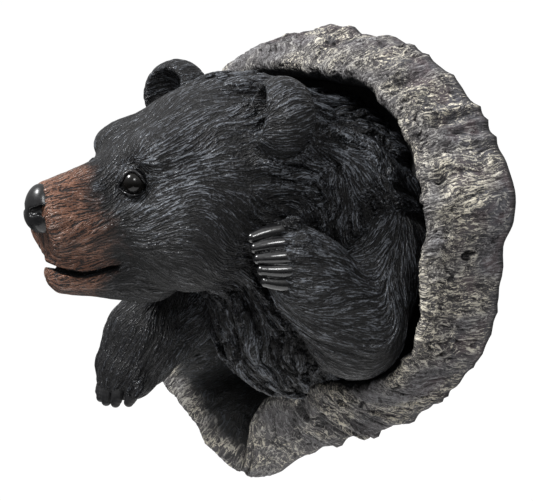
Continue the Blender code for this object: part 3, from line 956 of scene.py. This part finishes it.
class Nodes:
    """Short calls for building the nodes of a material or of the world."""

    def __init__(self, owner, shader):
        owner.use_nodes = True
        self.owner = owner
        self.tree = owner.node_tree
        self.shader = self.tree.nodes[shader]

    def link(self, value, socket):
        if isinstance(value, bpy.types.NodeSocket):
            self.tree.links.new(value, socket)
        else:
            socket.default_value = value

    def attribute(self, name, vector=False):
        node = self.tree.nodes.new("ShaderNodeAttribute")
        node.attribute_name = name
        return node.outputs["Vector" if vector else "Fac"]

    def place(self):
        return self.tree.nodes.new("ShaderNodeTexCoord").outputs["Object"]

    def math(self, operation, first, second=0.0):
        node = self.tree.nodes.new("ShaderNodeMath")
        node.operation = operation
        self.link(first, node.inputs[0])
        self.link(second, node.inputs[1])
        return node.outputs[0]

    def vector(self, operation, first, second, scale=None):
        node = self.tree.nodes.new("ShaderNodeVectorMath")
        node.operation = operation
        self.link(first, node.inputs[0])
        if scale is None:
            self.link(second, node.inputs[1])
        else:
            self.link(scale, node.inputs["Scale"])
        return node.outputs[0]

    def weighted(self, *parts):
        """The sum of values, each times its weight."""
        total = None
        for value, weight in parts:
            scaled = self.math("MULTIPLY", value, weight)
            total = scaled if total is None else self.math("ADD", total, scaled)
        return total

    def swayed(self, value, other, weight):
        """The value, raised or lowered by how far another one is from one half."""
        away = self.math("SUBTRACT", other, 0.5)
        return self.math("ADD", value, self.math("MULTIPLY", away, weight))

    def noise(self, place, scale, detail=2.0, distortion=0.0):
        node = self.tree.nodes.new("ShaderNodeTexNoise")
        self.link(place, node.inputs["Vector"])
        for name, number in (("Scale", scale), ("Detail", detail), ("Distortion", distortion)):
            node.inputs[name].default_value = number
        return node.outputs["Fac"]

    def ramp(self, value, low, high, first=0.0, last=1.0):
        """The value carried from low..high to first..last, smoothly and held at the ends."""
        node = self.tree.nodes.new("ShaderNodeMapRange")
        node.interpolation_type = "SMOOTHSTEP"
        self.link(value, node.inputs["Value"])
        for socket, number in zip(("From Min", "From Max", "To Min", "To Max"), (low, high, first, last)):
            node.inputs[socket].default_value = number
        return node.outputs["Result"]

    def mix(self, share, first, second):
        node = self.tree.nodes.new("ShaderNodeMix")
        node.data_type = "RGBA"
        self.link(share, node.inputs[0])
        for value, socket in ((first, node.inputs[6]), (second, node.inputs[7])):
            self.link(value if isinstance(value, bpy.types.NodeSocket) else (*value, 1.0), socket)
        return node.outputs[2]

    def bump(self, height, distance, strength=1.0):
        node = self.tree.nodes.new("ShaderNodeBump")
        node.inputs["Strength"].default_value = strength
        node.inputs["Distance"].default_value = distance
        self.link(height, node.inputs["Height"])
        self.link(node.outputs["Normal"], self.shader.inputs["Normal"])

    def set(self, name, value):
        self.link(value, self.shader.inputs[name])


def paint(name):
    """The nodes of a new material."""
    return Nodes(bpy.data.materials.new(name), "Principled BSDF")


def fine_hair(nodes, scale, reach, count):
    """Hairline streaks from 0 to 1: noise averaged along the hair."""
    place = nodes.place()
    flow = nodes.attribute("flow", vector=True)
    samples = []
    for step in range(-count, count + 1):
        shift = nodes.vector("SCALE", flow, None, scale=step * reach)
        samples.append(nodes.noise(nodes.vector("ADD", place, shift), scale, detail=0.0))
    total = samples[0]
    for sample in samples[1:]:
        total = nodes.math("ADD", total, sample)
    return nodes.ramp(nodes.math("DIVIDE", total, len(samples)), 0.42, 0.58)


def fur_material():
    """Black painted fur with grey dry-brushed strands, and the brown muzzle. Painted shade darkens the gaps
    between locks and strands.
    """
    nodes = paint("black_fur_paint")
    fine = fine_hair(nodes, 1400.0, 0.8, 3)
    coarse = fine_hair(nodes, 740.0, 1.45, 5)
    hair = nodes.weighted((fine, 0.35), (coarse, 0.65))
    ridge = nodes.attribute("ridge")
    brown = nodes.attribute("brown")
    # This share is dry-brushing together with painted light from above.
    brush_and_top_light = nodes.attribute("brush_and_top_light")
    height = nodes.weighted((ridge, 0.42), (hair, 0.58))
    lit = nodes.swayed(height, brush_and_top_light, 0.36)
    brushed = nodes.ramp(lit, 0.49, 0.92)
    # Painted shade: the low parts between strands get a darker black than their backs.
    deep = nodes.ramp(height, 0.25, 0.70)
    black = nodes.mix(deep, (0.0005, 0.0005, 0.0007), (0.0060, 0.0060, 0.0075))
    fur = nodes.mix(brushed, black, (0.145, 0.157, 0.178))
    # Painted shade: the deep gaps between the locks are darkened to near black.
    fur = nodes.mix(nodes.ramp(ridge, 0.10, 0.45), (0.0005, 0.0005, 0.0006), fur)
    patches = nodes.noise(nodes.place(), 60)
    rust = nodes.mix(nodes.ramp(patches, 0.35, 0.65), (0.125, 0.054, 0.032), (0.225, 0.108, 0.068))
    brown_paint = nodes.mix(nodes.ramp(height, 0.28, 0.60), (0.012, 0.009, 0.009), rust)
    tan = nodes.mix(nodes.ramp(lit, 0.52, 0.82), brown_paint, (0.42, 0.36, 0.33))
    nodes.set("Base Color", nodes.mix(brown, fur, tan))
    nodes.set("Roughness", nodes.ramp(height, 0.40, 0.75, 0.65, 0.21))
    nodes.set("Specular IOR Level", 0.38)
    nodes.bump(hair, 0.0012)
    return nodes.owner


def gloss_material(name, colour, roughness, coat, bump_scale=0.0):
    """Smooth dark paint with a little mottle, lacquered by the coat's share."""
    nodes = paint(name)
    place = nodes.place()
    mottle = nodes.noise(place, 260, detail=3.0)
    nodes.set("Base Color", nodes.mix(mottle, tuple(0.6 * part for part in colour), colour))
    nodes.set("Roughness", nodes.ramp(mottle, 0.3, 0.7, roughness * 0.85, roughness * 1.2))
    nodes.set("Specular IOR Level", 0.4)
    nodes.set("Coat Weight", coat)
    nodes.set("Coat Roughness", 0.14)
    if bump_scale:
        nodes.bump(nodes.noise(place, bump_scale), 0.00015, 0.5)
    return nodes.owner


def thin_lines(nodes, place, scale, width):
    """Thin wandering lines, where a noise passes its middle."""
    wandering = nodes.noise(place, scale, detail=1.5, distortion=0.8)
    away = nodes.math("ABSOLUTE", nodes.math("SUBTRACT", wandering, 0.5))
    return nodes.ramp(away, 0.0, width, 1.0, 0.0)


def bark_material():
    """Dark bark with pale dry-brushed ridges, and a hollow turned black by paint and painted shade."""
    nodes = paint("bark_paint")
    place = nodes.place()
    grain_place = nodes.attribute("grain", vector=True)
    relief = nodes.attribute("relief")
    hollow = nodes.attribute("hollow")
    purple = nodes.attribute("purple")
    wide = thin_lines(nodes, grain_place, 1.0, 0.045)
    narrow = thin_lines(nodes, grain_place, 2.1, 0.05)
    thin = nodes.math("MAXIMUM", wide, nodes.math("MULTIPLY", narrow, 0.8))
    thin = nodes.math("MULTIPLY", thin, nodes.math("SUBTRACT", 1.0, nodes.math("MULTIPLY", purple, 0.5)))
    stretched = nodes.vector("MULTIPLY", grain_place, (4.0, 4.0, 0.8))
    streak = nodes.ramp(nodes.noise(stretched, 1.0), 0.36, 0.64)
    speck = nodes.noise(place, 700)
    patches = nodes.noise(place, 28)
    tints = nodes.noise(place, 55, detail=1.0)
    height = nodes.weighted((relief, 0.40), (thin, 0.34), (streak, 0.26))
    worn = nodes.swayed(height, speck, 0.3)
    base = nodes.mix(nodes.ramp(worn, 0.18, 0.50), (0.004, 0.0035, 0.004), (0.095, 0.088, 0.090))
    plum = nodes.mix(nodes.ramp(tints, 0.4, 0.6), (0.095, 0.066, 0.074), (0.080, 0.082, 0.098))
    tinted = nodes.math("MULTIPLY", purple, nodes.ramp(worn, 0.20, 0.45, 0.1, 0.7))
    base = nodes.mix(tinted, base, plum)
    grey = nodes.mix(nodes.ramp(patches, 0.35, 0.65), (0.32, 0.32, 0.33), (0.72, 0.67, 0.55))
    brushed = nodes.ramp(worn, 0.50, 0.70)
    dry = nodes.math("MULTIPLY", brushed, nodes.ramp(patches, 0.25, 0.6, 0.6, 1.0))
    colour = nodes.mix(dry, base, grey)
    dark = nodes.mix(nodes.ramp(worn, 0.5, 0.9), (0.002, 0.002, 0.002), (0.05, 0.055, 0.065))
    # The hollow share paints the hollow's black, paint and painted shade together, over the bark.
    nodes.set("Base Color", nodes.mix(hollow, colour, dark))
    nodes.set("Roughness", nodes.ramp(height, 0.2, 0.8, 0.55, 0.8))
    nodes.bump(height, 0.0014)
    return nodes.owner


# The log


def ring_place(degrees, share):
    """Places on the bark in millimetres: round the ring in two numbers, and along the profile in one."""
    angle = np.radians(degrees)
    reach = LOG_RADIUS * 1000
    return np.stack([np.cos(angle) * reach, np.sin(angle) * reach, share * PROFILE_LENGTH], -1)


def warped(place):
    """The bark places pushed about, so that the grain wanders."""
    shifts = [4.5 * noise(place / 17, seed) + 1.6 * noise(place / 5.5, seed + 3) for seed in (61, 62, 63)]
    return place + np.stack(shifts, -1)


def knots(place):
    """Height of the knots, in metres: a ring round a hole."""
    total = np.zeros(place.shape[:-1])
    for degrees, share, size in KNOTS:
        centre = ring_place(np.array(degrees, float), np.array(share, float))
        away = np.sqrt(((place - centre) ** 2).sum(-1)) / size
        ring = np.exp(-(((away - 1.15) / 0.35) ** 2))
        total += KNOT_RING * ring - KNOT_HOLE * np.exp(-((away / 0.75) ** 4))
    return total


def fine_bark(degrees, share):
    """Relief of the bark's grain, cracks and knots, in metres."""
    place = ring_place(degrees, share)
    bent = warped(place)
    stretch = np.array([1, 1, 0.22])
    near_rim = smoothstep(0.45, 0.0, np.abs(share - 1.0))
    along = 1 - np.abs(noise(bent * stretch / 2.7, 64)) * 2
    finer = 1 - np.abs(noise(bent * stretch / 1.5, 65)) * 2
    curly = 1 - np.abs(noise(bent / np.array([3.2, 3.2, 4.5]), 66)) * 2
    ridges = along * (1 - 0.6 * near_rim) + curly * (0.35 + 0.45 * near_rim)
    crack_value = np.abs(noise(bent * stretch / 11, 67))
    low_down = smoothstep(195, 215, degrees % 360) * smoothstep(345, 320, degrees % 360)
    cracks = -smoothstep(0.04 + 0.05 * low_down, 0.0, crack_value) * smoothstep(1.05, 1.25, share)
    outside = smoothstep(0.3, 1.0, share)
    relief = GRAIN_RELIEF * ridges + FINE_RELIEF * finer
    carved = relief * (0.45 + 0.55 * outside) + CRACK_DEPTH * cracks + knots(place)
    return carved * smoothstep(2.0, 1.9, share)


def log_front():
    """Rows of points from the plate's edge over the rim to the back edge."""
    degrees = np.arange(LOG_STEPS) * 360 / LOG_STEPS
    shares = np.linspace(0, 2, LOG_PROFILE)
    around, along = np.meshgrid(degrees, shares, indexing="xy")
    radius, height = carved_section(around, along)
    angle = np.radians(around)
    points = np.stack([radius * np.cos(angle), -height, radius * np.sin(angle)], -1)
    tangent_round = np.roll(points, -1, 1) - np.roll(points, 1, 1)
    tangent_along = np.gradient(points, axis=0)
    normals = unit(np.cross(tangent_along, tangent_round))
    pairs = np.stack([around, along], -1).reshape(-1, 2)
    relief = spread(lambda rows: fine_bark(rows[:, 0], rows[:, 1]), pairs)
    return points + normals * relief.reshape(points.shape[:2])[..., None]


def keyhole_outline(entry_radius, slot_radius):
    """A round entry with a slot that runs up from it."""
    lean = math.degrees(math.asin(slot_radius / entry_radius))
    entry = arc(KEYHOLE_HEIGHT, entry_radius, 90 + lean, 450 - lean, 25)
    return entry + arc(KEYHOLE_HEIGHT + KEYHOLE_RISE, slot_radius, 0, 180, 13)


def arc(centre_z, radius, start, end, steps):
    """Points (x, z) on an arc from one angle to another, in degrees."""
    angles = np.radians(np.linspace(start, end, steps))
    return [(radius * math.cos(angle), centre_z + radius * math.sin(angle)) for angle in angles]


def prism(name, outline, near, far):
    """A closed block: the outline of (x, z) points, from y = near to y = far."""
    count = len(outline)
    points = [(x, near, z) for x, z in outline] + [(x, far, z) for x, z in outline]
    faces = [tuple(range(count - 1, -1, -1)), tuple(range(count, 2 * count))]
    for step in range(count):
        following = (step + 1) % count
        faces.append((step, following, count + following, count + step))
    mesh = bpy.data.meshes.new(name)
    mesh.from_pydata(points, [], faces)
    return linked(name, mesh)


def keyhole_back(outline):
    """Points and triangles of the flat back inside the outline, with the keyhole's pocket."""
    radius = KEYHOLE_ENTRY / 2
    block_front = -PLATE_THICKNESS * 0.9
    block = prism("back_block", outline, 0.0, block_front)
    mouth = prism("keyhole_mouth", keyhole_outline(radius, KEYHOLE_SLOT / 2), 0.002, -KEYHOLE_DEPTH)
    channel_outline = arc(KEYHOLE_HEIGHT, radius, 180, 360, 13)
    channel_outline += arc(KEYHOLE_HEIGHT + KEYHOLE_RISE, radius, 0, 180, 13)
    channel = prism("keyhole_channel", channel_outline, -KEYHOLE_LIP, -KEYHOLE_DEPTH)
    for cutter in (mouth, channel):
        taking = block.modifiers.new(cutter.name, "BOOLEAN")
        taking.operation = "DIFFERENCE"
        taking.object = cutter
    mesh = bpy.data.meshes.new_from_object(block.evaluated_get(bpy.context.evaluated_depsgraph_get()))
    mesh.calc_loop_triangles()
    points = vertex_data(mesh, "co")
    triangles = np.empty(len(mesh.loop_triangles) * 3, np.int32)
    mesh.loop_triangles.foreach_get("vertices", triangles)
    triangles = triangles.reshape(-1, 3)
    for thing in (block, mouth, channel):
        bpy.data.objects.remove(thing)
    outer = np.hypot(points[:, 0], points[:, 2]) > np.hypot(*np.array(outline).T).min() - 0.001
    front = points[:, 1] < block_front + 1e-5
    side = (outer[triangles].all(1) & front[triangles].any(1)) | front[triangles].all(1)
    return points, triangles[~side]


def welded(points, triangles):
    """Points that lie together made one."""
    _, first, index = np.unique(np.round(points, 6), axis=0, return_index=True, return_inverse=True)
    triangles = index.reshape(-1)[triangles]
    kept = (triangles != np.roll(triangles, 1, 1)).all(1)
    return points[first], triangles[kept]


def grid_triangles(rows, columns, bands):
    """Triangles over bands between closed rows of points. As many bands as rows make a closed ring."""
    row, column = np.meshgrid(np.arange(bands), np.arange(columns), indexing="ij")
    following = (row + 1) % rows
    beside = (column + 1) % columns
    a, b = row * columns + column, row * columns + beside
    c, d = following * columns + column, following * columns + beside
    upper = np.stack([a, d, b], -1).reshape(-1, 3)
    lower = np.stack([a, c, d], -1).reshape(-1, 3)
    return np.concatenate([upper, lower])


def log_piece(finish):
    """The whole log: plate, inner wall, rim, bark slope and flat back with its keyhole."""
    front = log_front()
    angle = np.radians(np.arange(LOG_STEPS) * 360 / LOG_STEPS)
    foot = front[0]
    plate = []
    for share in (0.02, 0.2, 0.4, 0.6, 0.8):
        ring = foot * share
        ring[:, 1] = -PLATE_THICKNESS
        plate.append(ring)
    foot[:, 1] = -PLATE_THICKNESS
    edge_radius = np.hypot(front[-1][:, 0], front[-1][:, 2]) - 0.001
    back = np.stack([edge_radius * np.cos(angle), np.zeros(LOG_STEPS), edge_radius * np.sin(angle)], -1)
    rings = np.concatenate([np.stack(plate), front, back[None]])
    points = np.round(rings.reshape(-1, 3), 6)
    triangles = grid_triangles(len(rings), LOG_STEPS, len(rings) - 1)
    here = np.arange(LOG_STEPS)
    inner = np.stack([np.full(LOG_STEPS, len(points)), here, (here + 1) % LOG_STEPS], 1)
    points = np.concatenate([points, [[0, -PLATE_THICKNESS, 0]]])
    back_points, back_triangles = keyhole_back([(x, z) for x, _, z in np.round(back, 6)])
    triangles = np.concatenate([triangles, inner, back_triangles + len(points)])
    points, triangles = welded(np.concatenate([points, back_points]), triangles)
    mesh = fewer("log", mesh_from("log", points, triangles), LOG_TRIANGLES)
    bark_attributes(mesh)
    return add_object("log", mesh, finish, "bark")


def profile_share(degrees, radius, height):
    """The share along the profile of each point of the log, from its nearest point on the section."""
    best = np.full(len(degrees), np.inf)
    found = np.zeros(len(degrees))
    for share in np.linspace(0, 2, 81):
        line_radius, line_height = section(degrees, np.full(len(degrees), share))
        away = (line_radius - radius) ** 2 + (line_height - height) ** 2
        closer = away < best
        best[closer] = away[closer]
        found[closer] = share
    return found


def bark_attributes(mesh):
    """What the bark's paint depends on, at each point of the final mesh."""
    points = vertex_data(mesh, "co")
    degrees = np.degrees(np.arctan2(points[:, 2], points[:, 0]))
    radius = np.hypot(points[:, 0], points[:, 2])
    share = profile_share(degrees, radius, -points[:, 1])
    behind = points[:, 1] > -0.0005
    place = ring_place(degrees, share)
    coarse = bark(degrees, share) / FURROW_DEPTH
    fine = fine_bark(degrees, share)
    relief = np.clip(0.5 + 0.14 * coarse + 340 * fine, 0, 1)
    set_number(mesh, "relief", np.where(behind, 0.3, relief))
    # Painted shade with the hollow's black paint: dark past the edge into the hollow, full on the plate and
    # 0.6 over the flat back.
    edge = np.interp(degrees % 360, DARK_ANGLES, DARK_SHARES)
    dark = smoothstep(edge, edge - 0.14, share + 0.05 * noise(place / 6, 71))
    on_plate = (radius < hollow_radius(degrees) - 0.002) & ~behind
    set_number(mesh, "hollow", np.where(behind, 0.6, np.where(on_plate, 1.0, dark)))
    outer = smoothstep(1.25, 1.75, share) * (0.5 + 0.5 * np.cos(np.radians(degrees - 30)))
    set_number(mesh, "purple", np.clip(outer * (0.6 + 0.8 * noise(place / 12, 72)), 0, 1))
    set_vector(mesh, "grain", warped(place) * np.array(BARK_GRAIN))


# Eyes and their lids


def eye_frame(side):
    """Centre, outward, back and up directions of an eye, in bear units."""
    axes = head_axes()
    flip = np.array([1, side, 1])
    outward = unit(EYE_AXIS * flip)
    up = unit(np.array([0, 0, 1.0]) - outward * outward[2])
    back = np.cross(up, outward) * side
    rows = [row @ axes for row in (outward, back, up)]
    sunk = FAR_EYE_SUNK if side == FAR_SIDE else 0.0
    return HEAD_PLACE + (EYE_CENTRE * flip) @ axes - rows[0] * sunk, rows


def ball(centre, axes, radius, rings, steps):
    """Points and triangles of a closed ball, with its poles along the first axis."""
    turns = np.arange(steps) * 2 * math.pi / steps
    flat = np.cos(turns)[:, None] * axes[1] + np.sin(turns)[:, None] * axes[2]
    rows = []
    for ring in range(1, rings):
        tilt = math.pi * ring / rings
        rows.append(centre + radius * (math.cos(tilt) * axes[0] + math.sin(tilt) * flat))
    points = np.concatenate([*rows, [centre + radius * axes[0]], [centre - radius * axes[0]]])
    here = np.arange(steps)
    there = (here + 1) % steps
    start = np.stack([np.full(steps, len(points) - 2), here, there], 1)
    end = np.stack([np.full(steps, len(points) - 1), there, here], 1)
    end[:, 1:] += (rings - 2) * steps
    return points, np.concatenate([grid_triangles(rings - 1, steps, rings - 2), start, end])


def smooth_piece(name, points, triangles, centre, finish):
    """A closed piece round the centre, its triangles turned to face out."""
    corners = points[triangles] - centre
    if np.einsum("ij,ij->i", corners[:, 0], np.cross(corners[:, 1], corners[:, 2])).sum() < 0:
        triangles = triangles[:, ::-1]
    mesh = mesh_from(name, to_world(points), triangles)
    mesh.shade_smooth()
    return add_object(name, mesh, finish, "black_fur")


def eyeball_piece(name, side, finish):
    centre, axes = eye_frame(side)
    points, triangles = ball(centre, axes, EYE_RADIUS, 40, 64)
    return smooth_piece(name, points, triangles, centre, finish)


def eyelid_piece(name, side, finish):
    """The edge of the lids: a closed tube round the eyeball, drawn out to both corners."""
    centre, (outward, back, up) = eye_frame(side)
    steps, around_steps = 110, 14
    corners = np.array(EYE_OUTLINE + EYE_OUTLINE[:1])
    lengths = np.concatenate([[0], np.cumsum(np.hypot(*np.diff(corners, axis=0).T))])
    travel = np.linspace(0, lengths[-1], steps, endpoint=False)
    line = np.stack([np.interp(travel, lengths, corners[:, axis]) for axis in (0, 1)], -1)
    for _ in range(3):
        line = (np.roll(line, 1, 0) + 2 * line + np.roll(line, -1, 0)) / 4
    reach = np.hypot(*line.T)
    rise = np.sqrt(np.maximum(LID_RADIUS**2 - reach**2, 0.3)) - LID_SINK
    thickness = 0.42 + 0.2 * smoothstep(0, 3, line[:, 1])
    turns = np.arange(around_steps) * 2 * math.pi / around_steps
    points = []
    for (along, above), out, radius in zip(line, rise, thickness):
        flat = along * back + above * up
        core = centre + flat + out * outward
        aside = flat / max(math.hypot(along, above), 1e-6)
        points.append(core + radius * (np.cos(turns)[:, None] * aside + np.sin(turns)[:, None] * outward))
    triangles = grid_triangles(steps, around_steps, steps)
    return smooth_piece(name, np.concatenate(points), triangles, centre, finish)


# Stage, light and camera


def stage_floor():
    mesh = bpy.data.meshes.new("floor")
    signs = ((-1, -1), (1, -1), (1, 1), (-1, 1))
    places = [(x * FLOOR_REACH, y * FLOOR_REACH, FLOOR_LEVEL) for x, y in signs]
    mesh.from_pydata(places, [], [(0, 1, 2, 3)])
    nodes = paint("floor_pale")
    nodes.set("Base Color", (0.9, 0.9, 0.9, 1))
    nodes.set("Roughness", 0.8)
    add_object("floor", mesh, nodes.owner)


def area_light(name, place, size, power):
    """A square lamp that looks at the object."""
    light = bpy.data.lights.new(name, "AREA")
    light.energy = power
    light.size = size
    lamp = linked(name, light)
    lamp.location = place
    lamp.rotation_euler = (Vector((0, -0.1, 0)) - Vector(place)).to_track_quat("-Z", "Y").to_euler()


def backdrop():
    """A plain white dome that only fills the view behind the object and throws no light."""
    points, triangles = ball(np.zeros(3), np.eye(3)[[2, 0, 1]], BACKDROP_RADIUS, 16, 32)
    nodes = paint("backdrop_white")
    nodes.set("Base Color", (0, 0, 0, 1))
    nodes.set("Emission Color", (1, 1, 1, 1))
    nodes.set("Emission Strength", 1.0)
    dome = add_object("backdrop", mesh_from("backdrop", points, triangles), nodes.owner)
    dome.visible_diffuse = False
    dome.visible_glossy = False
    dome.visible_transmission = False
    dome.visible_shadow = False


def studio():
    """A soft sky, brightest overhead, with a key light and a weaker side light."""
    world = bpy.data.worlds.new("studio")
    nodes = Nodes(world, "Background")
    direction = nodes.tree.nodes.new("ShaderNodeTexCoord").outputs["Generated"]
    parts = nodes.tree.nodes.new("ShaderNodeSeparateXYZ")
    nodes.link(direction, parts.inputs[0])
    nodes.set("Color", (1, 1, 1, 1))
    nodes.set("Strength", nodes.ramp(parts.outputs["Z"], *SKY_HEIGHTS, *SKY_STRENGTHS))
    bpy.context.scene.world = world
    area_light("key", *KEY_LAMP)
    area_light("side", *SIDE_LAMP)
    bpy.context.scene.view_settings.view_transform = "Standard"


def camera():
    """The camera at the photograph's angle, round the middle of the log's ring."""
    azimuth, elevation = math.radians(CAMERA_AZIMUTH), math.radians(CAMERA_ELEVATION)
    level = math.cos(elevation)
    back = Vector((math.sin(azimuth) * level, -math.cos(azimuth) * level, math.sin(elevation)))
    right = Vector((math.cos(azimuth), math.sin(azimuth), 0))
    up = back.cross(right)
    aside = (RING_IN_PHOTO[0] - PHOTO_SIZE[0] / 2) / FOCAL_PIXELS
    above = (PHOTO_SIZE[1] / 2 - RING_IN_PHOTO[1]) / FOCAL_PIXELS
    place = (back - aside * right - above * up) * CAMERA_DISTANCE
    lens = bpy.data.cameras.new("camera")
    lens.sensor_width = 36
    lens.lens = lens.sensor_width * FOCAL_PIXELS / PHOTO_SIZE[0]
    lens.clip_end = 20
    made = linked("camera", lens)
    rows = [(right[i], up[i], back[i], place[i]) for i in range(3)]
    made.matrix_world = Matrix((*rows, (0, 0, 0, 1)))
    bpy.context.scene.camera = made


# The whole scene


def build_bear():
    fur = fur_material()
    skin = gloss_material("lid_paint", (0.016, 0.016, 0.018), 0.3, 0.2)
    glossy = gloss_material("claw_gloss", (0.005, 0.005, 0.006), 0.30, 1.0)
    matte = gloss_material("claw_matte", (0.009, 0.009, 0.010), 0.45, 0.0)
    eye = gloss_material("eye_gloss", (0.004, 0.0035, 0.003), 0.17, 0.0)
    nose = gloss_material("nose_gloss", (0.010, 0.010, 0.011), 0.32, 0.2, 900)
    body = HairField(smooth_body, (-62, -156, -66), (60, 4, 90), 2 * BODY_GRID / UNIT)
    furry_piece("bear_head", body, HEAD_TRIANGLES, fur, face_side)
    neck = furry_piece("bear_neck", body, NECK_TRIANGLES, fur, neck_side)
    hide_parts("bear")
    near = HairField(near_arm_with_toes, (14, -82, -56), (74, 10, 28), 2 * ARM_GRID / UNIT)
    furry_piece("near_foreleg", near, ARM_TRIANGLES, fur)
    far = HairField(far_arm_with_toes, (-72, -104, -76), (-6, 10, 34), 2 * ARM_GRID / UNIT)
    furry_piece("far_foreleg", far, ARM_TRIANGLES, fur)
    detail_piece("nose", nose_on_head, (-30, -156, 8), (10, -120, 42), nose)
    detail_piece("near_claws", near_claws, (30, -86, -14), (58, -60, 22), glossy)
    detail_piece("far_claws", far_claws, (-68, -98, -70), (-26, -74, -48), matte)
    for side, word in ((NEAR_SIDE, "near"), (FAR_SIDE, "far")):
        eyeball_piece(word + "_eye", side, eye)
        eyelid_piece(word + "_eyelid", side, skin)


def main():
    camera()
    studio()
    backdrop()
    stage_floor()
    log = log_piece(bark_material())
    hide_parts("log_frame")
    build_bear()


main()
